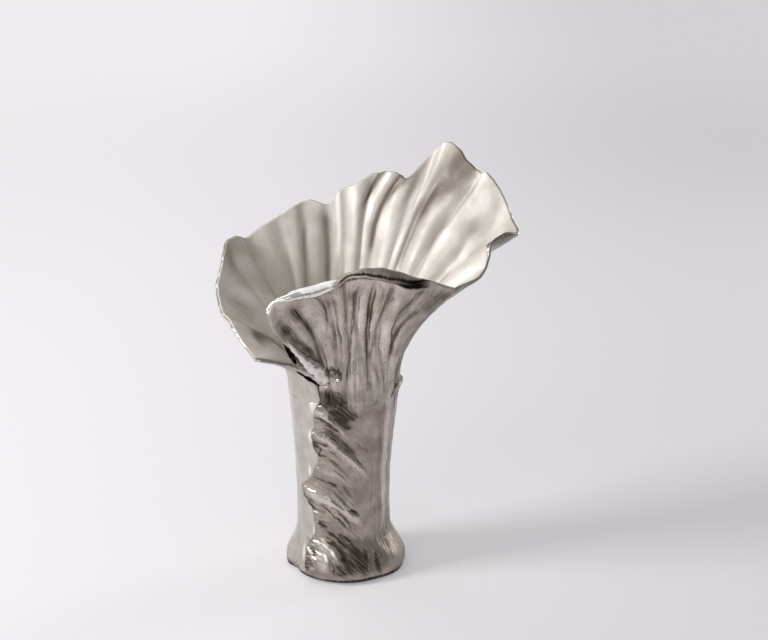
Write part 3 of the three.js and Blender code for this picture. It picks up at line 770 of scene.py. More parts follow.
@dataclass(frozen=True)
class Band:
    """Narrow ridge, groove or painted band that climbs a leaf, with its course as climb and bearing. On the
    tall leaf its painted value is painted shade and painted light on the enamel; on the low leaf patina,
    painted shade and painted light on the outside.
    """

    half_width: float
    rise: float
    stain_and_shade: float
    course: Points

    def at(self, bearing: Array, climb: Array) -> Array:
        """Share of the band, which fades out at both ends unless it reaches the rim.

        Args:
            bearing: bearing of the ribs' roots.
            climb: share of the way from the neck to the rim.

        Returns:
            The share at each point.
        """
        climbs, bearings = np.array(self.course, float).T
        start = smoothstep(climb, climbs[0] - 0.1, climbs[0] + 0.06)
        end = 1.0 - smoothstep(climb, climbs[-1] - 0.04, climbs[-1] + 0.06)
        share = hill(bearing, np.interp(climb, climbs, bearings), self.half_width) * start
        return share * np.where(climbs[-1] > 0.97, 1.0, end)


BACK_CRESTS = crests(
    (0.0, -109), (1.8, -136), (1.5, -160), (1.8, -184, -184, -184, -185, -187),
    (2.2, -203, -203, -203, -203, -204), (1.2, -220), (1.8, -229, -230, -233, -235, -238),
    (1.6, -246, -246, -248, -251, -254), (1.1, -265, -267, -268, -267, -266),
    (1.7, -279, -279, -279, -280, -284), (1.9, -290, -289, -288, -291, -300),
    (0.9, -304, -304.5, -305, -306, -310), (2.8, -314, -314, -316, -319.5, -320),
    (1.7, -331, -331, -331, -333, -337), (1.3, -345, -346, -346, -345, -346), (1.6, -357), (1.4, -370),
    (0.0, -387),
)
FRONT_CRESTS = crests(
    (0.0, -27), (1.4, -38), (1.6, -49), (1.4, -60), (1.6, -70), (1.4, -80), (1.6, -90), (1.6, -99),
    (0.0, -107),
)
# Half width, rise and stain_and_shade of each band, then its course; on the tall leaf the painted values are
# painted shade and painted light of the enamel, on the low leaf patina, painted shade and painted light of
# the outside
BACK_BANDS = marks(
    Band,
    ((9.0, 0.0, 0.45), (0.86, -184), (1.0, -190)),
    ((8.6, 0.0, 0.08), (0.42, -194.4), (0.66, -200.2), (0.91, -207.8)),
    ((3.8, -0.4, 0.5), (0.5, -233), (0.76, -237.4), (0.88, -240.8)),
    ((4.4, -0.5, 0.72), (0.5, -255.2), (0.7, -256.4), (0.95, -256.8)),
    ((2.5, 0.0, 0.2), (0.63, -272.3), (0.81, -271.1), (1.0, -269.9)),
    ((3.0, -0.5, 0.8), (0.88, -282.4), (0.93, -286.5), (1.0, -292.4)),
    ((3.3, -0.7, 0.85), (0.62, -292.4), (0.75, -292.4), (0.84, -294.8), (0.92, -299.5), (1.0, -305.0)),
    ((5.6, -0.6, 0.8), (0.75, -321.4), (0.82, -324.7), (0.9, -327.7), (1.0, -330.5)),
    ((4.8, -0.4, 0.55), (0.46, -318.3), (0.56, -318.9), (0.66, -319.7), (0.75, -321.4)),
    ((3.6, -0.3, 0.3), (0.61, -337.1), (0.7, -335.0), (0.77, -336.3)),
    ((2.0, -0.2, 0.2), (0.74, -348.5), (0.8, -346.8), (0.86, -345.4)),
    ((1.9, -0.4, 0.35), (0.62, -177.6), (0.75, -171.8), (0.87, -167.7)),
    ((10.0, 0.0, 0.85), (0.3, -168), (0.55, -150), (0.85, -126)),
    ((4.9, 0.0, -0.5), (0.69, -180.6), (0.8, -177.6), (0.89, -177.6)),
    ((2.4, 0.2, -0.5), (0.93, -223.2), (0.95, -224.2)),
    ((2.3, 0.2, -0.5), (0.79, -224.2), (0.82, -225.3)),
    ((1.8, 0.3, -0.9), (0.66, -265.1), (0.8, -265.9), (1.0, -265.1)),
    ((2.0, 0.2, -0.4), (0.6, -279.8), (0.8, -278.0), (0.96, -277.0)),
    ((2.8, 0.2, -0.55), (0.6, -285.4), (0.75, -284.3), (0.86, -284.3)),
    ((1.3, 0.2, -0.3), (0.81, -290.5), (0.88, -292.5), (0.96, -297)),
    ((4.0, 0.2, -0.8), (0.5, -306.1), (0.67, -307.1), (0.79, -309.1), (0.87, -311.2)),
    ((2.0, 0.2, -0.6), (0.52, -342.9), (0.65, -342.9), (0.74, -343.3)),
    ((2.6, 0.2, -0.6), (0.92, -343), (1.0, -337)),
    ((2.0, 0.2, -0.7), (0.92, -352), (1.0, -348)),
    ((1.9, 0.2, -0.6), (0.7, -352.1), (0.79, -348.5)),
    ((2.2, 0.2, -0.35), (0.62, -340.5), (0.79, -341.0), (0.91, -343.3)),
    ((7.0, 0.0, 0.12), (0.85, -321), (1.0, -322.3)),
    ((26.0, 0.0, 0.4), (0.3, -345), (1.0, -352)),
    ((14.0, 0.0, 0.1), (0.4, -212), (1.0, -226)),
    ((6.0, 0.0, -0.4), (0.6, -192), (0.9, -195)),
    ((3.6, 0.0, 0.4), (0.9, -284), (1.0, -291)),
    ((3.8, 0.0, 0.5), (0.9, -299), (1.0, -306)),
)
FRONT_BANDS = marks(
    Band,
    ((1.5, -1.2, 0.52), (0.3, -103.7), (0.54, -104.4), (0.73, -105.1), (0.89, -105.5)),
    ((0.7, 0.8, -0.2), (0.58, -103.1), (0.77, -102.8), (0.9, -103.5)),
    ((0.98, -1.3, 0.6), (0.3, -102.3), (0.39, -101.8), (0.49, -101.2), (0.61, -100.7), (0.75, -100.9),
        (0.89, -101.6)),
    ((1.5, 0.9, -0.15), (0.45, -98.6), (0.7, -98.0), (0.9, -98.6)),
    ((0.65, -0.8, 0.4), (0.56, -95.4), (0.65, -94.3), (0.77, -93.4), (0.89, -94.3), (0.95, -96.3)),
    ((1.04, -0.7, 0.4), (0.3, -86.4), (0.47, -86.4), (0.56, -88.1)),
    ((4.16, -0.3, 0.32), (0.65, -79.9), (0.76, -78.4), (0.9, -77.8)),
    ((1.82, -1.0, 0.36), (0.1, -84), (0.19, -82.8), (0.32, -78.9), (0.47, -77.3), (0.57, -74.7),
        (0.84, -73.1)),
    ((2.7, 1.1, -0.35), (0.1, -72.6), (0.32, -70.5), (0.52, -68.9), (0.77, -68.4)),
    ((2.47, -1.2, 0.4), (0.1, -62), (0.22, -62.5), (0.5, -62.5), (0.62, -60.9), (0.81, -62.0)),
    ((1.82, -0.9, 0.32), (0.3, -57.5), (0.42, -54.7), (0.58, -53.0), (0.69, -49.5), (0.81, -48.1),
        (0.9, -49.5)),
    ((1.3, -1.0, 0.4), (0.32, -36.2), (0.43, -37.3), (0.54, -36.2), (0.64, -34.9), (0.74, -33.0)),
    ((1.69, -0.9, 0.4), (0.1, -42), (0.25, -45.1), (0.33, -46.8)),
    ((2.7, 0.8, -0.3), (0.3, -40.3), (0.39, -41.5), (0.49, -41.9)),
    ((2.47, -0.7, 0.36), (0.1, -47.5), (0.18, -51.5), (0.24, -53.6)),
    ((1.04, -0.8, 0.4), (0.79, -53.6), (0.86, -53.6), (0.9, -57.5)),
    ((1.0, 0.7, -0.4), (0.79, -56.4), (0.84, -56.9), (0.88, -58.6)),
    ((1.3, -0.6, 0.28), (0.71, -40.0), (0.8, -37.7), (0.94, -35.5)),
    ((1.69, -0.7, 0.28), (0.1, -91), (0.22, -91.8), (0.34, -92.5)),
    ((12.0, 0.0, 0.34), (0.35, -22), (0.95, -24)),
    ((6.0, 0.0, 0.36), (0.7, -36), (0.85, -31), (1.0, -29)),
    ((5.0, 0.0, 0.26), (0.87, -42), (0.97, -40)),
    ((3.4, 0.0, 0.3), (0.76, -88), (0.84, -92), (0.9, -94)),
)


@dataclass(frozen=True)
class LeafStyle:
    """What makes one leaf differ from the other.

    The bands of a bent leaf shape the whole sheet, and those of the other one only its outer face.
    """

    rim: Points
    crests: tuple[Crest, ...]
    bands: tuple[Band, ...]
    bent: bool
    joint: float
    columns: int
    rows: int
    first_edge: Edge
    last_edge: Edge
    curl: Points
    bead: float
    rolled: float
    jag: float
    folds: float
    skew: float
    calm_rim: float
    depth: float
    wander: float
    seed: int


class LeafLattice:
    """A leaf's middle surface as a lattice: rows from the neck's skirt up to the rim, columns clockwise."""

    HALF_WALL = 1.4
    EDGE_RADII = {Edge.ROUNDED: 1.6, Edge.SQUARE: 0.1}
    RIM_RADIUS = 1.4
    CURVE_STEPS = 801
    SKIRT = (15.0, 13.0, 11.0, 9.0, 7.0, 5.0, 3.0, 1.5)
    CURL_RADIUS = 2.6
    CURL_ANGLE = 150.0
    CURL_TURNS = (0.18, 0.36, 0.54, 0.7, 0.84, 0.94, 1.0)
    BLUR = 3.0

    def __init__(self, style: LeafStyle) -> None:
        """Lays the rim, the ribs and the flutes.

        Args:
            style: what makes this leaf.
        """
        self.style = style
        table = np.array(style.rim, float)
        tips = stacked(*around(table[:, 0], table[:, 1]), TRUNK.neck_height + table[:, 2])
        fine = np.linspace(0.0, 1.0, self.CURVE_STEPS)
        travelled = row_lengths(curve_points(tips, fine)[None], 1)[0]
        shares = spaced(travelled[-1], style.columns, style.first_edge, style.last_edge)
        self.rim_distance = shares * travelled[-1]
        places = np.interp(self.rim_distance, travelled, fine)
        self.tips = curve_points(tips, places)
        self.root, self.lean, self.turn = curve_points(table[:, 3:], places).T
        self.curl = soft_table(self.root, style.curl, self.BLUR)

        levels, ribs, normals = self.ribs()
        self.skirt_rows = len(self.SKIRT)
        climb = np.concatenate([np.zeros(self.skirt_rows), levels, np.ones(len(self.CURL_TURNS))])
        self.bearing, self.climb = np.broadcast_arrays(self.root, climb[:, None])
        self.middle = ribs + normals * self.flutes()[..., None]
        self.normals = lattice_normals(self.middle)
        self.from_first = row_lengths(self.middle, 1)
        self.from_last = self.from_first[:, -1:] - self.from_first
        along = row_lengths(self.middle, 0)
        self.from_rim = along[-1:] - along
        self.under_lip = along[-1 - len(self.CURL_TURNS)] - along
        self.up = along - along[self.skirt_rows]
        self.across = np.broadcast_to(self.rim_distance, climb.shape + self.root.shape)

    def waves(self, own: int, *place: Array) -> Array:
        """Noise of this leaf, one field for each own number."""
        return noise(*place, seed=self.style.seed + own)

    def ribs(self) -> tuple[Array, Array, Array]:
        """Plain ribs from the skirt to the curled rim.

        Returns:
            Climbs of the rows between skirt and curl, all points, and the way that the flutes stand.
        """
        foot = TRUNK.place(self.root, TRUNK.neck(self.root) - self.HALF_WALL, np.array(TRUNK.neck_height))
        span = np.linalg.norm(self.tips - foot, axis=1)
        heading = np.arctan2(self.tips[:, 1], self.tips[:, 0]) + np.radians(self.turn)
        tilt = np.radians(self.lean)
        end = stacked(np.cos(heading) * np.sin(tilt), np.sin(heading) * np.sin(tilt), np.cos(tilt))
        jag = self.waves(0, self.rim_distance / 8.0) + 0.5 * self.waves(1, self.rim_distance / 3.2)
        moved = self.style.jag * jag - self.CURL_RADIUS * np.minimum(self.curl, 1.0)
        tips = self.tips + end * moved[:, None]
        lower = foot + np.array([0.0, 0.0, 1.0]) * (span * (0.16 + 0.3 * np.cos(tilt)))[:, None]
        upper = tips - end * (0.42 * span)[:, None]
        levels = spaced(float(np.median(span)), self.style.rows, Edge.ROOTED, Edge.ROUNDED)
        v = levels[:, None, None]
        main = (1 - v) ** 3 * foot + 3 * (1 - v) ** 2 * v * lower + 3 * (1 - v) * v * v * upper + v**3 * tips
        normals = lattice_normals(main)

        shares = np.array(self.CURL_TURNS)[:, None, None]
        turns = shares * np.radians(self.CURL_ANGLE) * self.curl[None, :, None]
        radius = self.CURL_RADIUS * np.maximum(self.curl, 0.05)[None, :, None]
        curled = tips + radius * (end * np.sin(turns) - normals[-1] * (1 - np.cos(turns)))
        curled = curled + shares * 0.3 * end
        skirt, skirt_normals = self.skirt()
        curl_normals = np.repeat(normals[-1:], len(self.CURL_TURNS), axis=0)
        points = np.concatenate([skirt, main, curled])
        return levels, points, np.concatenate([skirt_normals, normals, curl_normals])

    def skirt(self) -> tuple[Array, Array]:
        """Rows that run down over the neck and sink into it, so that the leaf grows out of the trunk.

        Returns:
            Their points and their normals towards the axis.
        """
        drop = np.array(self.SKIRT)[:, None]
        share = drop / self.SKIRT[0]
        depth = 9.0 + 6.0 * (0.5 + 0.5 * self.waves(2, self.root / 7.0))
        height = TRUNK.neck_height - drop * depth / self.SKIRT[0]
        bearing = np.broadcast_to(self.root, height.shape)
        sunk = lerp(0.0, -0.9, smoothstep(share, 0.35, 1.0))
        tucked = 2.6 * hill(bearing, self.style.joint, 5.0) * smoothstep(share, 0.0, 0.5)
        proud = sunk + self.skin(height) - tucked
        radius = TRUNK.radius(height) + TRUNK.lap * TRUNK.lap_share(bearing) - self.HALF_WALL + proud
        return TRUNK.place(bearing, radius, height), stacked(*around(bearing, -1.0), 0.0)

    def skin(self, height: Array) -> Array:
        """Relief of the neck that the skirt follows.

        Args:
            height: how far up each point of the skirt is.

        Returns:
            The relief there.
        """
        turned = np.broadcast_to(wrapped(self.root), height.shape)
        relief = RELIEF.height_at(turned, height) * TRUNK.lap_share(self.root)
        return (relief + SKIN.bark(turned, height)) * smoothstep(TRUNK.neck_height - height, 0.0, 5.0)

    def flutes(self) -> Array:
        """Height of the flutes towards the axis.

        Returns:
            The crests with hollows between, small uneven folds, and the bands of a bent leaf.
        """
        style, climb = self.style, self.climb
        root = self.bearing + style.wander * self.waves(9, self.bearing / 13.0, climb * 2.4)
        wave = np.zeros_like(root)
        for left, right in itertools.pairwise(style.crests):
            start, end = left.course(climb), right.course(climb)
            share = np.clip((root - start) / (end - start), 0.0, 1.0)
            height = lerp(left.depth, right.depth, share) * np.cos(2 * np.pi * share**style.skew)
            wave = np.where((root <= start) & (root > end), height, wave)
        folds = self.waves(3, root / 9.0, climb * 1.6) + 0.35 * self.waves(4, root / 4.4, climb * 2.2)
        grow = smoothstep(climb, 0.04, 0.6) * (1.0 - style.calm_rim * smoothstep(climb, 0.8, 1.0))
        bends = self.rises(root) if style.bent else 0.0
        return style.depth * wave * grow + style.folds * folds * smoothstep(climb, 0.05, 0.8) + bends

    def rises(self, bearing: Array) -> Array:
        """Relief of all bands."""
        return sum(band.rise * band.at(bearing, self.climb) for band in self.style.bands)

    def stains_and_shades(self) -> Array:
        """Painted values of all bands: painted shade and painted light, with patina on the low leaf."""
        return sum(band.stain_and_shade * band.at(self.bearing, self.climb) for band in self.style.bands)

    def thickness(self) -> Array:
        """Half thickness of the metal.

        Returns:
            It at each point: beaded or rolled at the sides, and rounded to nothing at the free edges.
        """
        style, climb = self.style, self.climb
        low = 1.0 - smoothstep(climb, 0.12, 0.5)
        bead = style.bead * (0.5 + 1.9 * low) * hill(self.from_first, 0.0, 2.0 + 2.4 * low)
        fold = hill(climb, 0.12, 0.16) + 0.45 * hill(climb, 0.4, 0.22)
        half = self.HALF_WALL + bead + style.rolled * fold * hill(self.from_last, 0.0, 4.5)
        first = edge_share(self.from_first, self.EDGE_RADII[style.first_edge])
        last = edge_share(self.from_last, self.EDGE_RADII[style.last_edge])
        return half * first * last * edge_share(self.from_rim, self.RIM_RADIUS)

    def wall_faces(self) -> tuple[Array, Array, Array]:
        """Faces of the metal.

        Returns:
            The outer one, the inner one and the relief on the outer one.
        """
        half = self.thickness()
        free = edge_share(self.from_rim, 9.0) * (self.climb > 0) * smoothstep(self.climb, 0.0, 0.06)
        free = free * edge_share(np.minimum(self.from_first, self.from_last), 4.0)
        streaks = 0.9 * self.waves(5, self.bearing / 6.0, self.up / 70.0)
        streaks += 0.3 * self.waves(6, self.bearing / 2.2, self.up / 30.0)
        lumps = 0.45 * self.waves(7, self.across / 9.0, self.up / 11.0)
        carved = 0.0 if self.style.bent else self.rises(self.bearing)
        grow = SKIN.flutes(wrapped(self.bearing), TRUNK.neck_height + self.up)
        grow = grow * (1.0 - smoothstep(self.climb, 0.15, 0.6)) * (self.climb > 0)
        relief = free * (streaks + lumps + carved) + grow
        outer = self.middle - self.normals * (half + relief * (half > 0))[..., None]
        return outer, self.middle + self.normals * half[..., None], relief


# Meshes


@dataclass(frozen=True)
class Lattice:
    """Two faces of a closed sheet on the same lattice, with the values painted on them."""

    front: Array
    back: Array
    grain: Array
    patina: Array


def add_face_grid(bm: bmesh.types.BMesh, points: Array, lattice: Lattice, flip: bool) -> Verts:
    """Adds one grid and moves its vertices to the points.

    Args:
        bm: mesh that is built.
        points: rows by columns by xyz, in millimetres.
        lattice: values painted on the grid.
        flip: whether the faces point the other way.

    Returns:
        The vertices of the grid.
    """
    rows, columns = points.shape[:2]
    verts = bmesh.ops.create_grid(bm, x_segments=columns - 1, y_segments=rows - 1, size=1.0)["verts"]
    places = (points.reshape(-1, 3) * METRES).tolist()
    patina = np.broadcast_to(lattice.patina, (rows, columns)).reshape(-1).tolist()
    grain = stacked(*np.moveaxis(lattice.grain * METRES, -1, 0), 0.0).reshape(-1, 3).tolist()
    patina_layer = bm.verts.layers.float["patina"]
    grain_layer = bm.verts.layers.float_vector["grain"]
    for vert, place, dark, along in zip(verts, places, patina, grain):
        vert.co = place
        vert[patina_layer] = dark
        vert[grain_layer] = along
    if flip:
        faces = list({face for vert in verts for face in vert.link_faces})
        bmesh.ops.reverse_faces(bm, faces=faces)
    return verts


def close_border(bm: bmesh.types.BMesh, verts: Verts) -> None:
    """Merges what meets on the open borders of some vertices."""
    border = [vert for vert in verts if vert.is_boundary]
    bmesh.ops.remove_doubles(bm, verts=border, dist=CLOSING_DISTANCE)


def finish_mesh(name: str, bm: bmesh.types.BMesh) -> bpy.types.Object:
    """Turns a bmesh into a smooth shaded object at the origin.

    Args:
        name: name of the object.
        bm: mesh that is built, which is freed.

    Returns:
        The object, with its painted grain as a UV map too.
    """
    mesh = bpy.data.meshes.new(name)
    for face in bm.faces:
        face.smooth = True
    bm.to_mesh(mesh)
    bm.free()
    grain = mesh.attributes.get("grain")
    if grain is not None:
        values = np.zeros(len(mesh.vertices) * 3, np.float32)
        grain.data.foreach_get("vector", values)
        corners = np.zeros(len(mesh.loops), np.int32)
        mesh.loops.foreach_get("vertex_index", corners)
        layer = mesh.uv_layers.new(name="grain_map")
        layer.data.foreach_set("uv", values.reshape(-1, 3)[corners, :2].ravel())
    obj = bpy.data.objects.new(name, mesh)
    bpy.context.scene.collection.objects.link(obj)
    return obj


# Materials


def linear(colour: str) -> tuple[float, float, float, float]:
    """Linear colour of an sRGB hex code."""
    channels = (int(colour[start : start + 2], 16) / 255 for start in (1, 3, 5))
    return (*(c / 12.92 if c <= 0.04045 else ((c + 0.055) / 1.055) ** 2.4 for c in channels), 1.0)


class Node(Enum):
    """Shader nodes in use: type, inputs in the order that a call gives them, output and settings."""

    COORDINATES = ("TexCoord", (), "Object", {})
    DIRECTION = ("TexCoord", (), "Generated", {})
    GRAIN_MAP = ("UVMap", (), "UV", {"uv_map": "grain_map"})
    PATINA = ("Attribute", (), "Fac", {"attribute_name": "patina"})
    SCALED = ("VectorMath", (0, 1), 0, {"operation": "MULTIPLY"})
    LENGTH = ("VectorMath", (0,), "Value", {"operation": "LENGTH"})
    SIDEWAYS = ("SeparateXYZ", ("Vector",), "X", {})
    NOISE = ("TexNoise", ("Vector", "Scale", "Detail", "Roughness"), "Fac", {})
    TIMES = ("Math", (0, 1), 0, {"operation": "MULTIPLY"})
    MINUS = ("Math", (0, 1), 0, {"operation": "SUBTRACT"})
    LARGER = ("Math", (0, 1), 0, {"operation": "MAXIMUM"})
    TIMES_PLUS = ("Math", (0, 1, 2), 0, {"operation": "MULTIPLY_ADD"})
    TIMES_PLUS_HELD = ("Math", (0, 1, 2), 0, {"operation": "MULTIPLY_ADD", "use_clamp": True})
    EVEN_RAMP = ("MapRange", ("Value", "From Min"), "Result", {})
    RAMP = (
        "MapRange",
        ("Value", "From Min", "From Max", "To Min", "To Max"),
        "Result",
        {"interpolation_type": "SMOOTHSTEP"},
    )
    MIX = ("Mix", ("Factor", 6, 7), 2, {"data_type": "RGBA"})
    COLOUR_RAMP = ("ValToRGB", ("Fac",), "Color", {})
    BUMP = ("Bump", ("Height", "Distance", "Normal"), "Normal", {})
    CAMERA_RAY = ("LightPath", (), "Is Camera Ray", {})
    TRANSMISSION_RAY = ("LightPath", (), "Is Transmission Ray", {})
    PRINCIPLED = ("BsdfPrincipled", ("Base Color", "Roughness", "Normal"), "BSDF", {})
    GLOW = ("Emission", ("Color", "Strength"), "Emission", {})
    BOTH = ("MixShader", (0, 1, 2), "Shader", {})
    AIR = ("Background", ("Color", "Strength"), "Background", {})
    SURFACE = ("OutputMaterial", ("Surface",), None, {})
    WORLD = ("OutputWorld", ("Surface",), None, {})


class ShaderGraph:
    """Node tree of one material or world."""

    def __init__(self, owner: bpy.types.Material | bpy.types.World) -> None:
        """Empties the node tree of its owner.

        Args:
            owner: the material or world.
        """
        self.owner = owner
        owner.use_nodes = True
        self.tree = owner.node_tree
        self.tree.nodes.clear()

    def add(self, kind: Node, *values: object, named: dict[str, object] | None = None) -> Socket | None:
        """Adds a node with its settings and links.

        Args:
            kind: which node.
            values: number, colour or output for each of its inputs, in order.
            named: the same for other inputs, by name.

        Returns:
            Its output.
        """
        name, inputs, output, settings = kind.value
        node = self.tree.nodes.new("ShaderNode" + name)
        for key, value in settings.items():
            setattr(node, key, value)
        for key, value in {**dict(zip(inputs, values)), **(named or {})}.items():
            if isinstance(value, Socket):
                self.tree.links.new(value, node.inputs[key])
            else:
                node.inputs[key].default_value = value
        return None if output is None else node.outputs[output]

    def place_mm(self) -> Socket:
        """Object coordinates in millimetres."""
        return self.add(Node.SCALED, self.add(Node.COORDINATES), MILLIMETRES)

    def grain_mm(self) -> Socket:
        """Coordinates across and along the grain in millimetres."""
        return self.add(Node.SCALED, self.add(Node.GRAIN_MAP), MILLIMETRES)

    def relief(self, *layers: tuple[Socket, float]) -> Socket:
        """Bends the normal.

        Args:
            layers: heights from 0 to 1, each with its depth in millimetres.

        Returns:
            The normal.
        """
        normal = []
        for height, depth in layers:
            normal = [self.add(Node.BUMP, height, depth * METRES, *normal)]
        return normal[0]

    def finish(self, shader: Socket) -> bpy.types.Material:
        """Connects the shader to the output and gives the material."""
        self.add(Node.SURFACE, shader)
        return self.owner


class Brushing(Enum):
    """Way of the brush marks, upright or along the painted grain, as factors of their coordinates."""

    UPRIGHT = (1.0, 1.0, 0.06)
    ALONG_GRAIN = (1.0, 0.07, 1.0)


@dataclass(frozen=True)
class NickelFinish:
    """Nickel plate on cast metal."""

    name: str
    bright: str
    dull: str
    patina: str
    smooth: float
    rough: float
    streak_depth: float
    grain_depth: float
    brushing: Brushing
    tinge: float = 0.0
    speckle: float = 0.0
    tint: str = "#a39c88"
    # Colour of metal worn bright and of painted highlights
    polish_and_highlight: str = "#d4cdc8"
    # Black of painted shadow, for painted values over 1
    pitch: str = "#120e0b"
    scratchy: float = 1.1
    crisp: float = 0.7
    scratched: float = 0.4
    streak_width: float = 1.4
    scratch_width: float = 1.5
    scribble_width: float = 1.1
    scribble_scale: tuple[float, float, float] = (1.0, 0.2, 1.0)
    scribble_depth: float = 0.35
    cloud_size: float = 16.0
    mottle_size: float = 2.6
    tint_size: float = 11.0
    speck_size: float = 1.5
    speck_patches: float = 15.0
    pit_size: float = 0.9

    def darkness(self, graph: ShaderGraph, painted: Socket, scribble: Socket) -> Socket:
        """Patina and painted shade with crisp scribbled edges, scratched through to the metal.

        Args:
            graph: node tree of the material.
            painted: painted patina and shade, and polish with painted highlights.
            scribble: fine noise along the grain.

        Returns:
            How dark the metal is, from 0 up.
        """
        add = graph.add
        uneven = add(Node.TIMES_PLUS, add(Node.MINUS, scribble, 0.5), self.scratchy, painted)
        crisp = add(Node.TIMES, add(Node.RAMP, uneven, 0.25, 0.85), add(Node.RAMP, painted, 0.02, 0.25))
        soft = add(Node.TIMES, add(Node.LARGER, painted, 0.0), add(Node.TIMES_PLUS, scribble, 0.9, 0.5))
        dark = add(Node.TIMES_PLUS, add(Node.MINUS, crisp, soft), self.crisp, soft)
        along = add(Node.SCALED, graph.grain_mm(), Brushing.ALONG_GRAIN.value)
        scratches = add(Node.NOISE, along, 1 / self.scratch_width, 2.0)
        return add(Node.TIMES, dark, add(Node.RAMP, scratches, 0.52, 0.64, 1.0, 1.0 - self.scratched))

    def build(self) -> bpy.types.Material:
        """Makes the material.

        Returns:
            The material.
        """
        graph = ShaderGraph(bpy.data.materials.new(self.name))
        add = graph.add
        place, grain, painted = graph.place_mm(), graph.grain_mm(), add(Node.PATINA)
        brushed = place if self.brushing is Brushing.UPRIGHT else grain
        brushed = add(Node.SCALED, brushed, self.brushing.value)
        cloud = add(Node.NOISE, place, 1 / self.cloud_size, 3.0)
        mottle = add(Node.NOISE, place, 1 / self.mottle_size, 4.0, 0.65)
        streaks = add(Node.NOISE, brushed, 1 / self.streak_width, 4.0, 0.6)
        scribbled = add(Node.SCALED, grain, self.scribble_scale)
        scribble = add(Node.NOISE, scribbled, 1 / self.scribble_width, 4.0, 0.7)
        dark = self.darkness(graph, painted, scribble)
        polish = add(Node.RAMP, add(Node.TIMES, painted, -1.0), 0.05, 0.9)

        tone = add(Node.RAMP, add(Node.TIMES_PLUS, streaks, 0.3, add(Node.TIMES, cloud, 0.7)), 0.32, 0.68)
        tinted = add(Node.NOISE, place, 1 / self.tint_size, 2.0, 0.6)
        tinted = add(Node.RAMP, tinted, 0.5, 0.72, 0.0, self.tinge)
        specks = add(Node.NOISE, place, 1 / self.speck_size, 3.0, 0.6)
        specks = add(Node.RAMP, specks, 0.56, 0.66, 0.0, self.speckle)
        patches = add(Node.RAMP, add(Node.NOISE, place, 1 / self.speck_patches, 2.0), 0.42, 0.6)
        colour = add(Node.MIX, tone, linear(self.dull), linear(self.bright))
        # Tint, then bright polish and painted highlights, then dark patina and painted shade, then the black
        # of painted shadow
        for share, hue in (
            (tinted, self.tint),
            (polish, self.polish_and_highlight),
            (add(Node.LARGER, dark, add(Node.TIMES, specks, patches)), self.patina),
            (add(Node.RAMP, painted, 1.05, 1.4), self.pitch),
        ):
            colour = add(Node.MIX, share, colour, linear(hue))

        worn = add(Node.RAMP, mottle, 0.3, 0.7, self.smooth, self.rough)
        worn = add(Node.TIMES, worn, add(Node.TIMES_PLUS, polish, -0.35, 1.0))
        roughness = add(Node.TIMES_PLUS_HELD, dark, 0.22, worn)
        pits = add(Node.RAMP, add(Node.NOISE, place, 1 / self.pit_size, 2.0), 0.28, 0.42)
        normal = graph.relief(
            (streaks, self.streak_depth),
            (mottle, self.grain_depth),
            (pits, self.grain_depth * 0.4),
            (add(Node.TIMES, scribble, dark), self.scribble_depth),
        )
        return graph.finish(add(Node.PRINCIPLED, colour, roughness, normal, named={"Metallic": 1.0}))


@dataclass(frozen=True)
class EnamelFinish:
    """Pearl enamel: a pale glossy coat with a silvery sheen under it."""

    name: str
    pale: str
    shade: str
    metallic: float
    roughness: float
    coat: float
    coat_roughness: float
    # The first colour is painted shade in the flutes' valleys; lit is painted light on their crests and
    # along the front lip.
    painted_shade: str = "#63574a"
    lit: str = "#f6f2ee"
    cloud_size: float = 26.0
    brush_width: float = 5.0
    brush_depth: float = 0.03
    ripple_size: float = 8.0
    ripple_depth: float = 0.34
    patch_size: float = 14.0

    def build(self) -> bpy.types.Material:
        """Makes the material.

        Returns:
            The material.
        """
        graph = ShaderGraph(bpy.data.materials.new(self.name))
        add = graph.add
        place, painted = graph.place_mm(), add(Node.PATINA)
        cloud = add(Node.NOISE, place, 1 / self.cloud_size, 2.0)
        along = add(Node.SCALED, graph.grain_mm(), (1.0, 0.12, 1.0))
        brushed = add(Node.NOISE, along, 1 / self.brush_width, 3.0, 0.55)
        tone = add(Node.RAMP, add(Node.TIMES_PLUS, cloud, 0.78, add(Node.TIMES, brushed, 0.22)), 0.36, 0.64)
        colour = add(Node.MIX, tone, linear(self.shade), linear(self.pale))
        # Painted shade where the painted value is positive, painted light where it is negative
        colour = add(Node.MIX, add(Node.RAMP, painted, 0.0, 1.0), colour, linear(self.painted_shade))
        light = add(Node.RAMP, add(Node.TIMES, painted, -1.0), 0.0, 1.0)
        colour = add(Node.MIX, light, colour, linear(self.lit))
        ripple = add(Node.NOISE, place, 1 / self.ripple_size, 2.0)
        normal = graph.relief((ripple, self.ripple_depth), (brushed, self.brush_depth))
        patches = add(Node.NOISE, place, 1 / self.patch_size, 1.0)
        rough = add(Node.RAMP, patches, 0.3, 0.7, self.roughness * 0.9, self.roughness * 1.15)
        coat = {
            "Metallic": self.metallic,
            "Coat Weight": self.coat,
            "Coat Roughness": self.coat_roughness,
            "Coat Normal": normal,
        }
        return graph.finish(add(Node.PRINCIPLED, colour, rough, normal, named=coat))


@dataclass(frozen=True)
class FeltFinish:
    """Wool felt."""

    name: str
    light: str
    dark: str
    fibre_width: float = 0.5
    fibre_depth: float = 0.3

    def build(self) -> bpy.types.Material:
        """Makes the material.

        Returns:
            The material.
        """
        graph = ShaderGraph(bpy.data.materials.new(self.name))
        fibres = graph.add(Node.NOISE, graph.place_mm(), 1 / self.fibre_width, 4.0, 0.7)
        colour = graph.add(Node.MIX, fibres, linear(self.dark), linear(self.light))
        normal = graph.relief((fibres, self.fibre_depth))
        return graph.finish(graph.add(Node.PRINCIPLED, colour, 0.95, normal, named={"Sheen Weight": 0.4}))


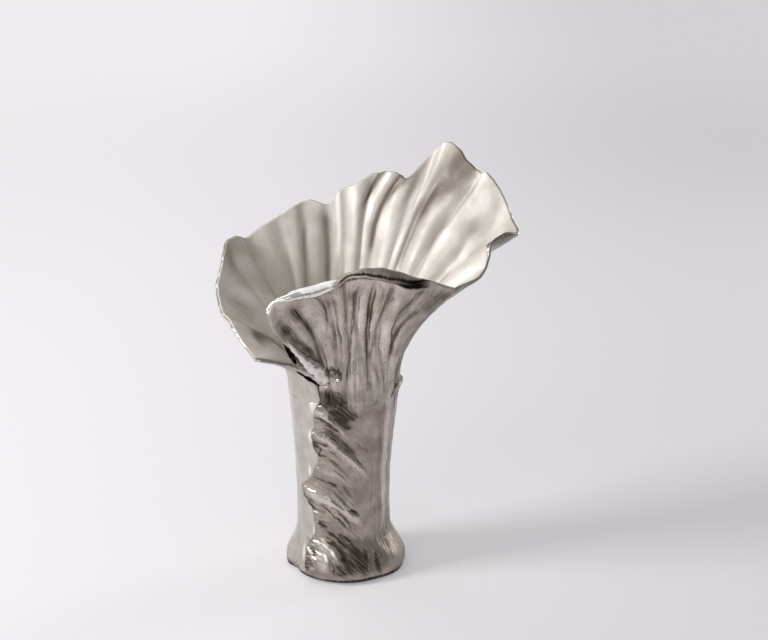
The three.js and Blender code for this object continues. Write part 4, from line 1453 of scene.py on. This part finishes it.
@dataclass(frozen=True)
class FloorFinish:
    """Pale studio sweep, painted a little darker to the right, which stands in for the falloff of the key
    light from the left.
    """

    name: str
    left: str
    right: str
    glow: float
    turn: Span = (-420.0, 640.0)
    far: Span = (900.0, 2600.0)
    paper_size: float = 3.0
    paper_depth: float = 0.02

    def build(self) -> bpy.types.Material:
        """Makes the material.

        Returns:
            The material, which shows the camera its own colour more fully the farther it is from the vase.
        """
        graph = ShaderGraph(bpy.data.materials.new(self.name))
        add, place = graph.add, graph.place_mm()
        share = add(Node.RAMP, add(Node.SIDEWAYS, place), *self.turn)
        far = add(Node.RAMP, add(Node.LENGTH, place), *self.far)
        colour = add(Node.MIX, share, linear(self.left), linear(self.right))
        normal = graph.relief((add(Node.NOISE, place, 1 / self.paper_size, 2.0), self.paper_depth))
        lit = add(Node.PRINCIPLED, colour, 0.9, normal, named={"Specular IOR Level": 0.1})
        seen = add(Node.LARGER, add(Node.CAMERA_RAY), add(Node.TRANSMISSION_RAY))
        share = add(Node.TIMES, seen, add(Node.TIMES_PLUS, far, 1.0 - self.glow, self.glow))
        return graph.finish(add(Node.BOTH, share, lit, add(Node.GLOW, colour, 0.95)))


@dataclass(frozen=True)
class Finishes:
    """Materials of the vase and the floor."""

    # Cleaner plate of the tube and the tall leaf's outside: satin with upright brush marks
    nickel: NickelFinish = NickelFinish(
        "nickel_plate_satin", "#cdc8c0", "#b6b1a9", "#4a433c", 0.17, 0.25, 0.03, 0.012, Brushing.UPRIGHT,
        polish_and_highlight="#f6f3ee",
    )
    # Hand-worked plate: duller, mottled, with patina rubbed into the hollows
    nickel_patina: NickelFinish = NickelFinish(
        "nickel_plate_hand_worked", "#b3aaa2", "#8f867e", "#48403b", 0.26, 0.4, 0.04, 0.05,
        Brushing.ALONG_GRAIN, tinge=0.45, speckle=0.4, scratchy=1.7, crisp=0.75, scratched=0.6,
    )
    # The same hand-worked plate on the front leaf, rubbed cleaner
    nickel_rubbed: NickelFinish = NickelFinish(
        "nickel_plate_rubbed", "#d3cac2", "#ada49a", "#463f3a", 0.24, 0.38, 0.04, 0.06, Brushing.ALONG_GRAIN,
        tinge=0.35, speckle=0.7, polish_and_highlight="#f6f3ee", scratchy=1.2, crisp=0.35,
    )
    # Burnished plate of the knot: a near mirror
    burnished: NickelFinish = NickelFinish(
        "nickel_plate_burnished", "#bdb7b0", "#9b958e", "#2e2925", 0.16, 0.26, 0.03, 0.04, Brushing.UPRIGHT,
        polish_and_highlight="#e2dcd7",
    )
    # Pearl enamel: warm silver with a glossy skin
    enamel: EnamelFinish = EnamelFinish("pearl_enamel_fired", "#dad4cd", "#c4bdb4", 0.1, 0.48, 0.2, 0.34)
    # Black wool felt under the foot: swallows light
    felt: FeltFinish = FeltFinish("wool_felt_black", "#242222", "#0f0e0e")
    # Pale sweep: near white on the left, painted greyer on the right for the key light's falloff
    floor: FloorFinish = FloorFinish("paper_sweep_pale", "#f6f3f6", "#d8d5d8", 0.36)


# Pieces


class VasePiece:
    """One piece of the vase that stands for a CAD node."""

    name = ""
    node = ""
    slot = Slot.NICKEL_PATINA

    def build(self, bm: bmesh.types.BMesh) -> None:
        """Builds the mesh of the piece."""
        raise NotImplementedError

    def add(self, material: bpy.types.Material) -> None:
        """Makes the piece, gives it its material and fastens it to the part.

        Args:
            material: finish of the piece.
        """
        bm = bmesh.new()
        bm.verts.layers.float.new("patina")
        bm.verts.layers.float_vector.new("grain")
        self.build(bm)
        obj = finish_mesh(self.name, bm)
        obj.data.materials.append(material)
        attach(obj, BODY)
        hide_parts(self.node)
        log.info("%s: %d faces", obj.name, len(obj.data.polygons))


class SheetPiece(VasePiece):
    """Closed sheet whose two faces meet at its edges."""

    def lattice(self) -> Lattice:
        """Works out the faces: the front's normals, columns crossed with rows, point into the sheet."""
        raise NotImplementedError

    def build(self, bm: bmesh.types.BMesh) -> None:
        """Builds the mesh of the piece.

        Args:
            bm: mesh that is built.
        """
        lattice = self.lattice()
        add_face_grid(bm, lattice.front, lattice, flip=True)
        add_face_grid(bm, lattice.back, lattice, flip=False)
        close_border(bm, bm.verts)


@dataclass
class TurnedPiece(VasePiece):
    """Solid turned about +Z in a number of segments."""

    segments: int = 96
    stain_and_shade: float = 0.0

    def profile(self) -> Points:
        """Radius and height of each point, outwards and up, closed on itself or on the axis."""
        raise NotImplementedError

    def place(self, bearing: Array, radius: Array, height: Array) -> Array:
        """Points of the solid."""
        return TRUNK.place(bearing, radius, height)

    def build(self, bm: bmesh.types.BMesh) -> None:
        """Builds the mesh of the piece.

        Args:
            bm: mesh that is built.
        """
        radius, height = np.array(self.profile(), float).T[..., None]
        turn = np.linspace(-180.0, 180.0, self.segments + 1)
        bearing, radius, height = np.broadcast_arrays(turn, radius, height)
        points = self.place(bearing, radius, height)
        lattice = Lattice(points, points, stacked(bearing, height), np.full(1, self.stain_and_shade))
        close_border(bm, add_face_grid(bm, points, lattice, flip=False))


@dataclass
class TrunkTube(SheetPiece):
    """Inner tube of the trunk, seen at the left and the back left."""

    name = "trunk_tube_wall"
    node = "trunk_tube"
    slot = Slot.NICKEL
    columns: int = 190
    rows: int = 150
    bearings: Span = (20.0, 380.0)
    foot_edge: float = 1.8
    top_edge: float = 0.1
    glint_rise: float = 1.1
    shadow: Waves = Waves(1.0, (14.0, 9.0), 31)
    glints: tuple[Spot, ...] = (
        Spot(-121, 166, 4.2, 11, 1.2),
        Spot(-127, 131, 2.2, 6, 1.0),
        Spot(-130.5, 98, 2.8, 6, 0.9),
        Spot(-137.5, 24, 3.0, 8, 1.0),
        Spot(-126.5, 42, 2.6, 5, 0.7),
    )

    def lattice(self) -> Lattice:
        """Works out the faces.

        Returns:
            The faces with their painted values.
        """
        low, high = TRUNK.plate_top, TRUNK.tube_top
        height = low + spaced(high - low, self.rows, Edge.ROUNDED, Edge.SQUARE) * (high - low)
        bearing, height = np.broadcast_arrays(np.linspace(*self.bearings, self.columns + 1), height[:, None])
        turned = wrapped(bearing)
        glints = sum(spot.at(turned, height) for spot in self.glints)
        bare = 1.0 - TRUNK.lap_share(turned)
        skin = (SKIN.bark(turned, height) + self.glint_rise * glints) * bare + SKIN.foot(turned, height)
        edge = edge_share(height - low, self.foot_edge) * edge_share(high - height, self.top_edge)
        half = TRUNK.tube_wall / 2
        middle = TRUNK.radius(height) - half
        outer = TRUNK.place(bearing, middle + edge * (half + skin), height)
        inner = TRUNK.place(bearing, middle - edge * half, height)
        shadow = smoothstep(self.shadow.at(bearing, height), 0.0, 0.5)
        patina = 0.55 * smoothstep(height, 30.0, 6.0) * shadow - np.clip(glints, 0.0, 1.0)
        return Lattice(inner, outer, stacked(TRUNK.arc(bearing), height), patina)


@dataclass
class TrunkPanel(SheetPiece):
    """Ridged panel lapped round the tube's front and right, with a ledge at the right of the neck."""

    name = "trunk_panel_lapped"
    node = "trunk_panel"
    rows: int = 236
    front_columns: int = 128
    back_columns: int = 56
    seam_shares: tuple[float, ...] = (0.0, 0.0006, 0.003, 0.007, 0.012, 0.018)
    front_shares: Span = (0.024, 0.39)
    back_share: float = 0.985
    back_shares: tuple[float, ...] = (0.993, 0.998, 1.0)
    top: float = 172.3
    ledge: Span = (16.0, 44.0)
    ledge_rise: float = 14.0
    wall: float = 3.5
    ledge_wall: float = 1.8
    sunk: float = 1.4
    degree: float = 0.75
    side_radius: float = 2.4
    foot_radius: float = 1.8
    top_radius: float = 1.2

    def lattice(self) -> Lattice:
        """Works out the faces.

        Returns:
            The faces with their painted values.
        """
        low, high = TRUNK.plate_top, TRUNK.tube_top
        level = (low + spaced(high - low, self.rows, Edge.ROUNDED, Edge.SQUARE) * (high - low))[:, None]
        edge = RELIEF.seam_bearing(level)
        front = np.linspace(*self.front_shares, self.front_columns)
        back = np.linspace(self.front_shares[1], self.back_share, self.back_columns)[1:]
        shares = np.array([*self.seam_shares, *front, *back, *self.back_shares])
        bearing = lerp(edge, TRUNK.panel_back_edge, shares)
        raised = np.clip((1.0 - smoothstep(np.abs(bearing), *self.ledge) - 0.35) / 0.65, 0.0, 1.0)
        height = level + raised * (self.top - high) * smoothstep(level, high - self.ledge_rise, high)
        relief = RELIEF.height_at(bearing, height) + SKIN.foot(bearing, height)
        relief = relief + SKIN.bark(bearing, height) * (1.0 - RELIEF.ridged(bearing, height))
        lip = raised * smoothstep(height, high - 2.0, self.top)
        from_seam = (bearing - edge) * self.degree
        rounding = (
            edge_share(from_seam, self.side_radius)
            * edge_share((TRUNK.panel_back_edge - bearing) * self.degree, self.side_radius)
            * edge_share(height - low, self.foot_radius)
            * edge_share(lerp(high, self.top, raised) - height, self.top_radius)
        )
        wall = lerp(self.wall, self.ledge_wall, lip) + self.sunk
        radius = TRUNK.radius(np.minimum(height, 168.0)) - 0.8 + lip * 4.2 + 0.6 * lip
        outer = TRUNK.place(bearing, radius + np.maximum((wall + relief) * rounding, 0.0), height)
        grain = stacked(RELIEF.flow(bearing, height), TRUNK.arc(bearing))
        # Painted shade: the seam's side made dark at the two bulges
        seam_side_shade = np.maximum(hill(height, 73.0, 8.0), hill(height, 127.0, 7.0))
        patina = RELIEF.patina_at(bearing, height, relief)
        patina = lerp(patina, 1.0, seam_side_shade * (1.0 - smoothstep(from_seam, 3.0, 7.5)))
        # Painted light: lighter just under the neck at the front right, against the shade of the leaf's
        # overhang
        patina = patina - 0.3 * smoothstep(height, 152.0, 161.0) * smoothstep(bearing, -82.0, -68.0)
        return Lattice(TRUNK.place(bearing, radius, height), outer, grain, patina)


@dataclass
class TrunkEnamel(TurnedPiece):
    """Enamel inside the tube."""

    name = "trunk_enamel_coat"
    node = "trunk_enamel"
    slot = Slot.PEARL_ENAMEL
    heights: Span = (4.4, 161.5)
    rings: int = 60
    outer_set: float = 2.9
    inner_set: float = 4.1

    def profile(self) -> Points:
        """Works out the section of the coat.

        Returns:
            Its points, from the outer face's foot round to the inner one's.
        """
        heights = np.linspace(*self.heights, self.rings)
        outer = [(TRUNK.radius(height) - self.outer_set, height) for height in heights]
        inner = [(TRUNK.radius(height) - self.inner_set, height) for height in heights[::-1]]
        return (*outer, *inner, outer[0])


@dataclass
class NeckWeld(TurnedPiece):
    """Weld ring between the trunk and the leaves."""

    name = "neck_weld_ring"
    node = "neck_weld"
    heights: Span = (163.4, 166.2)
    inset: float = 1.0
    segments: int = 160

    def place(self, bearing: Array, side: Array, height: Array) -> Array:
        """Points at a share of the way from the tube's inner face to the neck's outer one."""
        inner = TRUNK.radius(np.array(TRUNK.tube_top)) - TRUNK.tube_wall
        return TRUNK.place(bearing, lerp(inner, TRUNK.neck(bearing) - self.inset, side), height)

    def profile(self) -> Points:
        """Section of the ring, with its shares of the way outwards for radii."""
        low, high = self.heights
        return ((0.0, low), (1.0, low), (1.0, high), (0.0, high), (0.0, low))


@dataclass
class LeafWall(SheetPiece):
    """Cast metal of one leaf."""

    leaf: LeafLattice

    def stain_and_shade(self) -> Array:
        """Patina, painted shade and painted light of this leaf besides its hollows and its root."""
        raise NotImplementedError

    def lattice(self) -> Lattice:
        """Works out the faces.

        Returns:
            The faces with their painted values.
        """
        leaf = self.leaf
        outer, inner, relief = leaf.wall_faces()
        hollow = 0.3 * smoothstep(-relief, 0.3, 1.4)
        turned = wrapped(leaf.bearing)
        low = RELIEF.patina_at(turned, TRUNK.neck_height + leaf.up, np.zeros_like(turned))
        low = low * (1.0 - smoothstep(leaf.up, 8.0, 24.0))
        patina = np.clip(hollow + self.stain_and_shade() + low * TRUNK.lap_share(turned), -1.0, 1.5)
        return Lattice(outer, inner, stacked(leaf.across, leaf.up), patina)


@dataclass
class BackLeafWall(LeafWall):
    """Cast metal of the tall leaf."""

    name = "back_leaf_cast"
    node = "back_leaf"
    slot = Slot.NICKEL

    def stain_and_shade(self) -> Array:
        """Painted shade at the right, painted shadow under the low rim's bead at the seam, and a dark tip.

        Returns:
            The painted value at each point.
        """
        leaf = self.leaf
        # Painted shadow: a dark line under the low rim's bead
        undercut_shadow = hill(leaf.from_first, 3.4, 1.7) * hill(leaf.climb, 0.38, 0.2)
        shaded = 0.34 * smoothstep(-leaf.bearing, 318.0, 345.0)
        shaded = shaded + 0.22 * smoothstep(-leaf.bearing, 362.0, 376.0)
        tip = 0.85 * hill(leaf.bearing, -363.5, 6.5) * smoothstep(leaf.climb, 0.85, 0.97)
        return np.maximum(np.maximum(shaded, undercut_shadow), tip)


@dataclass
class FrontLeafWall(LeafWall):
    """Cast metal of the low leaf with its rolled lip."""

    name = "front_leaf_cast"
    node = "front_leaf"
    ragged: Waves = Waves(0.07, (9.0, 1.0), 47)

    def stain_and_shade(self) -> Array:
        """Lip with painted shade and a painted highlight, bands of patina, painted shade and painted light,
        clouds under the lip and a darker root.

        Returns:
            The painted value at each point.
        """
        leaf = self.leaf
        clouds = smoothstep(noise(leaf.bearing / 7.0, leaf.climb * 7.0, seed=61), 0.0, 0.5)
        stain_and_shade = self.lip_shade_and_highlight() + leaf.stains_and_shades() + 0.18 * clouds * (leaf.under_lip > 3.0)
        return stain_and_shade + 0.2 * (1.0 - smoothstep(leaf.up, 2.0, 16.0))

    def lip_shade_and_highlight(self) -> Array:
        """Painted shade on the top of the rolled lip for the dark that it reflects, painted black shadow
        under the roll, and a painted highlight at its left end.

        Returns:
            The painted value at each point.
        """
        leaf = self.leaf
        roll = np.clip(-leaf.under_lip / np.maximum(leaf.under_lip[-1:] * -1.0, 0.1), 0.0, 1.0)
        middle = smoothstep(leaf.bearing, -88.0, -83.0) * (1.0 - smoothstep(leaf.bearing, -40.0, -32.0))
        left = 1.0 - smoothstep(leaf.bearing, -90.0, -86.0)
        # Painted shade on the roll's top, for the dark that it reflects
        top = smoothstep(-leaf.under_lip, -2.0, 1.0) * (1.0 - smoothstep(roll, 0.6, 0.85))
        overhang = 1.9 + 4.3 * leaf.curl
        thick = hill(leaf.bearing, -42.0, 8.0)
        deep = 1.1 + 2.2 * thick
        # Painted shadow: black on the outer face under the roll's overhang
        shadow_under_lip = (1.0 - smoothstep(leaf.under_lip - overhang, 0.2 * deep, 1.3 * deep)) * lerp(0.6, 1.0, thick)
        ragged = roll + self.ragged.at(leaf.bearing, leaf.climb)
        # Painted shadow: a black line on the roll's underside
        line = smoothstep(ragged, 0.6, 0.7) * (1.0 - (1.0 - thick) * smoothstep(ragged, 0.74, 0.82))
        under = np.where(leaf.under_lip > 0.0, shadow_under_lip, line)
        # Painted highlight: the left end of the roll made bright
        bright = left * (1.0 - smoothstep(leaf.under_lip, -1.0, 2.5))
        return middle * (0.2 * top + 1.3 * under) - bright


@dataclass
class LeafEnamel(SheetPiece):
    """Enamel on the inside of one leaf."""

    leaf: LeafLattice
    bare_side: float
    last_set: float
    slot = Slot.PEARL_ENAMEL
    thickness: float = 0.6
    sunk: float = 0.7
    depth: float = 1.0
    fade: float = 1.2
    throat_set: float = 3.9
    throat_drop: float = 5.0

    def rim(self, inside: tuple[slice, slice], wander: Array) -> Array:
        """Share of the coat next to the rim."""
        raise NotImplementedError

    def shade(self, inside: tuple[slice, slice]) -> Array:
        """Painted shade and painted light on the coat."""
        raise NotImplementedError

    def lattice(self) -> Lattice:
        """Works out the faces.

        Returns:
            The faces with their painted values.
        """
        leaf = self.leaf
        inside = (slice(leaf.skirt_rows, -1), slice(2, -2))
        parts = (leaf.middle, leaf.normals, leaf.climb, leaf.bearing, leaf.thickness())
        middle, normals, climb, bearing, half = (values[inside] for values in parts)
        wander = 0.5 * leaf.waves(8, leaf.across[inside] / 5.0, climb * 9.0)
        bare = 2.0 + self.bare_side * (1.0 - smoothstep(climb, 0.3, 0.7)) + 1.5 * wander
        first = smoothstep(leaf.from_first[inside] - bare, 0.0, self.fade)
        last = smoothstep(leaf.from_last[inside] - self.last_set + wander, 0.0, self.fade)
        top = half + lerp(-self.sunk, self.thickness, self.rim(inside, wander) * first * last)
        face = middle + normals * top[..., None]
        under = middle + normals * np.minimum(half - self.depth, top - 0.05)[..., None]

        throat = 1.0 - smoothstep(climb, 0.0, 0.1)
        height = face[..., 2] - self.throat_drop * throat
        radius = TRUNK.radius(np.minimum(height, TRUNK.neck_height)) - self.throat_set
        pipe = TRUNK.place(bearing, radius, height)
        face = lerp(face, pipe, throat[..., None])
        under = lerp(under, pipe + normals * -0.8, throat[..., None])
        closed = lerp(under, face, np.pad(np.ones((len(face) - 2, face.shape[1] - 2)), 1)[..., None])
        grain = stacked(leaf.across, leaf.up)[inside]
        return Lattice(under, closed, grain, self.shade(inside))


@dataclass
class BackLeafEnamel(LeafEnamel):
    """Enamel of the tall leaf."""

    name = "back_leaf_enamel_coat"
    node = "back_leaf_enamel"

    def rim(self, inside: tuple[slice, slice], wander: Array) -> Array:
        """Coat up to the rim's edge, with the metal bare at its tip.

        Args:
            inside: rows and columns of the coat.
            wander: unevenness of its border.

        Returns:
            The share at each point.
        """
        tip = 10.0 * hill(self.leaf.bearing[inside], -363.5, 4.5)
        return smoothstep(self.leaf.from_rim[inside] + 0.3 * wander - tip, 0.2, 0.9)

    def shade(self, inside: tuple[slice, slice]) -> Array:
        """Painted shade and painted light of the bands."""
        return np.clip(self.leaf.stains_and_shades()[inside], -1.0, 1.0)


@dataclass
class FrontLeafEnamel(LeafEnamel):
    """Enamel of the low leaf."""

    name = "front_leaf_enamel_coat"
    node = "front_leaf_enamel"

    def rim(self, inside: tuple[slice, slice], wander: Array) -> Array:
        """Coat up to the lip, and on over it at the left.

        Args:
            inside: rows and columns of the coat.
            wander: unevenness of its border.

        Returns:
            The share at each point.
        """
        over = 9.0 * smoothstep(hill(self.leaf.bearing[inside], -93.0, 8.0), 0.1, 0.8)
        return smoothstep(self.leaf.under_lip[inside] + wander + over, 1.0, 2.2)

    def shade(self, inside: tuple[slice, slice]) -> Array:
        """Light along the lip."""
        return -smoothstep(-self.leaf.under_lip[inside], -3.0, 1.0)


@dataclass(frozen=True)
class Strand:
    """Drawn-out run of weld metal, with its course as x, y, z and radius of each point."""

    RINGS = 64
    SIDES = 40
    rough: float
    stain_and_shade: float
    course: Points

    def lattice(self, seed: int) -> Lattice:
        """Rings along the course, closed to a point at both ends.

        Args:
            seed: number of the first random field of its lumps.

        Returns:
            The strand as one grid.
        """
        fine = curve_points(np.array(self.course, float), np.linspace(0.0, 1.0, self.RINGS))
        centre, size = fine[:, None, :3], fine[:, 3:]
        aim = np.gradient(fine[:, :3], axis=0)
        aim = aim / np.linalg.norm(aim, axis=1, keepdims=True)
        side = np.cross(aim, (0.0, 0.0, 1.0))
        side = side / np.linalg.norm(side, axis=1, keepdims=True)
        turn = np.linspace(0.0, 2.0 * np.pi, self.SIDES + 1)
        ring = np.cos(turn)[:, None] * side[:, None] + np.sin(turn)[:, None] * np.cross(side, aim)[:, None]
        turn, along = np.broadcast_arrays(turn, row_lengths(centre, 0))
        spots = np.moveaxis(centre + ring * size[..., None], -1, 0)
        uneven = noise(*spots / 5.0, seed=seed) + 0.5 * noise(*spots / 2.0, seed=seed + 1)
        closing = edge_share(np.minimum(along, along[-1:] - along), 2.0)
        points = centre + ring * (size * closing * (1.0 + self.rough * uneven))[..., None]
        stain_and_shade = np.clip(self.stain_and_shade + 0.35 * uneven * abs(self.stain_and_shade), -1.0, 1.5)
        return Lattice(points, points, stacked(turn * 4.0, along), stain_and_shade)


@dataclass
class SeamKnot(VasePiece):
    """Weld where the tall leaf's low rim ends on the front leaf: runs of bright metal and a nugget."""

    name = "seam_knot_burnished"
    node = "seam_knot"
    slot = Slot.NICKEL
    # Roughness and stain_and_shade of each strand, then its course
    strands: tuple[Strand, ...] = marks(
        Strand,
        ((0.16, -0.3), (-69.4, -72.5, 211.8, 0.9), (-59.7, -70.3, 209.9, 1.3), (-50.1, -66.8, 206.9, 1.7),
            (-42.1, -62.9, 203.6, 2.1), (-34.9, -59.0, 199.6, 2.5), (-28.5, -56.0, 195.4, 2.9),
            (-22.8, -53.8, 190.8, 3.2), (-17.1, -51.4, 186.2, 3.2), (-11.3, -50.2, 183.6, 2.0)),
        ((0.14, -0.7), (-49.1, -69.8, 233.1, 0.6), (-44.5, -66.2, 225.0, 1.8), (-39.5, -62.6, 217.3, 3.0),
            (-34.0, -58.8, 209.7, 4.6), (-28.4, -55.4, 203.3, 6.2), (-22.7, -53.0, 197.7, 6.9),
            (-18.3, -51.2, 191.9, 6.2), (-15.1, -49.8, 185.6, 4.2), (-13.9, -48.6, 179.0, 2.0)),
        # The next two black strands are painted shadow: dark lines laid in the gaps of the weld, where shade
        # falls
        ((0.3, 1.4), (-49.7, -67.5, 230.2, 0.6), (-47.1, -64.0, 222.9, 1.5), (-44.5, -60.5, 215.7, 2.0),
            (-41.5, -57.5, 209.0, 2.2), (-38.8, -55.0, 203.3, 1.2)),
        ((0.3, 1.4), (-40.6, -60.6, 200.5, 0.5), (-35.0, -58.2, 196.0, 1.3), (-29.4, -55.4, 191.0, 1.7),
            (-23.7, -53.0, 186.2, 1.5), (-19.6, -51.0, 182.5, 0.7)),
        ((0.35, 0.5), (-12.5, -50.5, 194.5, 2.2), (-9.5, -51.2, 194.0, 3.6), (-6.0, -51.5, 192.0, 3.8),
            (-4.0, -51.0, 188.5, 3.0), (-5.5, -50.5, 185.5, 1.6)),
        ((0.2, -1.0), (-6.4, -54.4, 190.6, 1.4), (-4.4, -55.0, 189.4, 2.1), (-2.6, -54.4, 188.2, 1.4)),
    )
    first_seed: int = 40

    def build(self, bm: bmesh.types.BMesh) -> None:
        """Builds the mesh of the piece.

        Args:
            bm: mesh that is built.
        """
        for number, strand in enumerate(self.strands):
            lattice = strand.lattice(self.first_seed + 2 * number)
            close_border(bm, add_face_grid(bm, lattice.front, lattice, flip=False))
        bmesh.ops.recalc_face_normals(bm, faces=bm.faces[:])


@dataclass
class BasePlate(TurnedPiece):
    """Plate that closes the foot."""

    name = "base_plate_cast"
    node = "base_plate"
    radius: float = 49.8
    bottom: float = 1.6
    top: float = 4.4
    uneven: Span = (20.0, 46.0)
    lobe_height: float = 5.0
    segments: int = 220
    # Dark all over: the plate's dark edge, with a painted contact shadow along the foot's bottom
    stain_and_shade: float = 1.0

    def place(self, bearing: Array, radius: Array, height: Array) -> Array:
        """Points of the plate, whose edge follows the lobes of the foot.

        Args:
            bearing: bearings.
            radius: radii before the lobes.
            height: heights.

        Returns:
            The points.
        """
        lobes = SKIN.foot(bearing, np.full_like(radius, self.lobe_height)) * smoothstep(radius, *self.uneven)
        x, y = around(bearing, radius + lobes)
        return stacked(TRUNK.shifts[0] + x, y, height)

    def profile(self) -> Points:
        """Works out the section of the plate.

        Returns:
            Its points, from the middle of the underside round its worn edge to the top.
        """
        edge, low, high = self.radius, self.bottom, self.top
        under = ((0.0, low), (edge - 6.0, low), (edge - 0.8, low))
        side = ((edge - 0.2, 1.9), (edge, 2.6), (edge, 3.4), (edge - 0.3, 4.0))
        return (*under, *side, (edge - 1.0, high), (edge - 6.0, high), (0.0, high))


@dataclass
class FeltPad(TurnedPiece):
    """Felt under the foot."""

    name = "felt_pad_round"
    node = "felt_pad"
    slot = Slot.BLACK_FELT
    radius: float = 44.0
    thickness: float = 1.9
    middle: float = 20.0
    fray: Waves = Waves(0.25, (2.0, 1.0), 51)
    frayed: Span = (30.0, 43.0)
    segments: int = 180

    def place(self, bearing: Array, radius: Array, height: Array) -> Array:
        """Points of the pad with its frayed edge."""
        x, y = around(bearing, radius + self.fray.at(bearing, height) * smoothstep(radius, *self.frayed))
        return stacked(x, y, height)

    def profile(self) -> Points:
        """Works out the section of the pad.

        Returns:
            Its points, from the middle of the underside round its soft edge to the top.
        """
        edge, top = self.radius, self.thickness
        under = ((0.0, 0.0), (self.middle, 0.0), (edge - 0.5, 0.0))
        return (*under, (edge, 0.4), (edge, 1.5), (edge - 0.6, top), (self.middle, top), (0.0, top))


# Stage


@dataclass(frozen=True)
class Studio:
    """Camera, lights and floor."""

    camera_place: tuple[float, float, float] = (33.615, -1616.885, 749.055)
    camera_tilt: float = 72.0
    lens: float = 93.75
    sensor: float = 36.0
    clip: Span = (50.0, 60000.0)
    floor_half: float = 6000.0
    target: tuple[float, float, float] = (0.0, 0.0, 180.0)
    # Place, side and watts of the key at the left, one behind, a weak fill and one at the right edge
    softboxes: tuple = (
        ("key_softbox", (-3890.0, -1180.0, 2800.0), 1450.0, 164.0),
        ("back_softbox", (-800.0, 1200.0, 2100.0), 850.0, 4.0),
        ("fill_softbox", (-1300.0, -3300.0, 2700.0), 2600.0, 31.0),
        ("edge_softbox", (1500.0, 950.0, 620.0), 520.0, 8.0),
    )
    # Colours of the air from the left to the right
    air: tuple = ((0.0, "#dcdcde"), (0.45, "#c8c8ca"), (0.8, "#8e8c8c"), (1.0, "#a8a6a6"))
    air_strength: float = 0.8

    @staticmethod
    def put(name: str, data: bpy.types.ID, place: tuple, turn: tuple) -> bpy.types.Object:
        """Adds a camera or a lamp.

        Args:
            name: name of the object.
            data: the camera or the lamp.
            place: where it is, in millimetres.
            turn: its turns in radians.

        Returns:
            The object.
        """
        obj = bpy.data.objects.new(name, data)
        obj.location = [value * METRES for value in place]
        obj.rotation_euler = turn
        bpy.context.scene.collection.objects.link(obj)
        return obj

    def camera(self) -> None:
        """Adds the camera."""
        data = bpy.data.cameras.new("camera")
        data.lens, data.sensor_width = self.lens, self.sensor
        data.clip_start, data.clip_end = (value * METRES for value in self.clip)
        tilt = (math.radians(self.camera_tilt), 0.0, 0.0)
        bpy.context.scene.camera = self.put("camera", data, self.camera_place, tilt)

    def lights(self) -> None:
        """Adds the softboxes, which look at the middle of the vase."""
        for name, place, side, watts in self.softboxes:
            data = bpy.data.lights.new(name, "AREA")
            data.shape = "SQUARE"
            data.size = side * METRES
            data.energy = watts
            aim = np.array(self.target) - np.array(place)
            yaw = math.atan2(aim[1], aim[0]) - math.pi / 2
            pitch = math.atan2(aim[2], math.hypot(aim[0], aim[1])) + math.pi / 2
            self.put(name, data, place, (pitch, 0.0, yaw))

    def world(self) -> None:
        """Adds the air, whose colour changes sideways."""
        world = bpy.data.worlds.new("studio_air")
        bpy.context.scene.world = world
        graph = ShaderGraph(world)
        sideways = graph.add(Node.EVEN_RAMP, graph.add(Node.SIDEWAYS, graph.add(Node.DIRECTION)), -1.0)
        colour = graph.add(Node.COLOUR_RAMP, sideways)
        stops = colour.node.color_ramp.elements
        for number, (place, hue) in enumerate(self.air):
            stop = stops[number] if number < 2 else stops.new(place)
            stop.position, stop.color = place, linear(hue)
        graph.add(Node.WORLD, graph.add(Node.AIR, colour, self.air_strength))

    def floor(self, material: bpy.types.Material) -> None:
        """Adds the floor.

        Args:
            material: finish of the floor.
        """
        bm = bmesh.new()
        bmesh.ops.create_grid(bm, x_segments=2, y_segments=2, size=self.floor_half * METRES)
        floor = finish_mesh("floor_sweep", bm)
        floor.data.materials.append(material)


BACK_STYLE = LeafStyle(
    rim=BACK_RIM,
    crests=BACK_CRESTS,
    bands=BACK_BANDS,
    bent=True,
    joint=-109.0,
    columns=320,
    rows=104,
    first_edge=Edge.ROUNDED,
    last_edge=Edge.SQUARE,
    curl=((-387, 0), (-100, 0)),
    bead=1.1,
    rolled=0.0,
    jag=0.7,
    folds=0.45,
    skew=0.78,
    calm_rim=0.0,
    depth=0.54,
    wander=0.9,
    seed=60,
)
FRONT_STYLE = LeafStyle(
    rim=FRONT_RIM,
    crests=FRONT_CRESTS,
    bands=FRONT_BANDS,
    bent=False,
    joint=-107.0,
    columns=210,
    rows=150,
    first_edge=Edge.SQUARE,
    last_edge=Edge.ROUNDED,
    curl=(
        (-107, 0.5), (-103, 1.0), (-98, 1.4), (-92, 1.4), (-85, 1.0), (-78, 1.0), (-70, 1.3), (-58, 1.6),
        (-44, 1.4), (-34, 0.4), (-27, 0),
    ),
    bead=0.0,
    rolled=3.4,
    jag=0.12,
    folds=0.5,
    skew=1.0,
    calm_rim=0.75,
    depth=1.0,
    wander=0.0,
    seed=80,
)


def main() -> None:
    """Builds the scene."""
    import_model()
    bpy.context.scene.view_settings.view_transform = "Standard"
    finishes = Finishes()
    nickel = finishes.nickel.build()
    worked = finishes.nickel_patina.build()
    enamel = finishes.enamel.build()
    back, front = LeafLattice(BACK_STYLE), LeafLattice(FRONT_STYLE)

    FeltPad().add(finishes.felt.build())
    BasePlate().add(worked)
    TrunkTube().add(nickel)
    TrunkPanel().add(worked)
    TrunkEnamel().add(enamel)
    NeckWeld().add(worked)
    BackLeafWall(back).add(nickel)
    FrontLeafWall(front).add(finishes.nickel_rubbed.build())
    BackLeafEnamel(back, bare_side=13.0, last_set=-5.0).add(enamel)
    FrontLeafEnamel(front, bare_side=-3.0, last_set=1.4).add(enamel)
    SeamKnot().add(finishes.burnished.build())

    studio = Studio()
    studio.camera()
    studio.lights()
    studio.world()
    studio.floor(finishes.floor.build())

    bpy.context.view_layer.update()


if __name__ == "__main__":
    main()
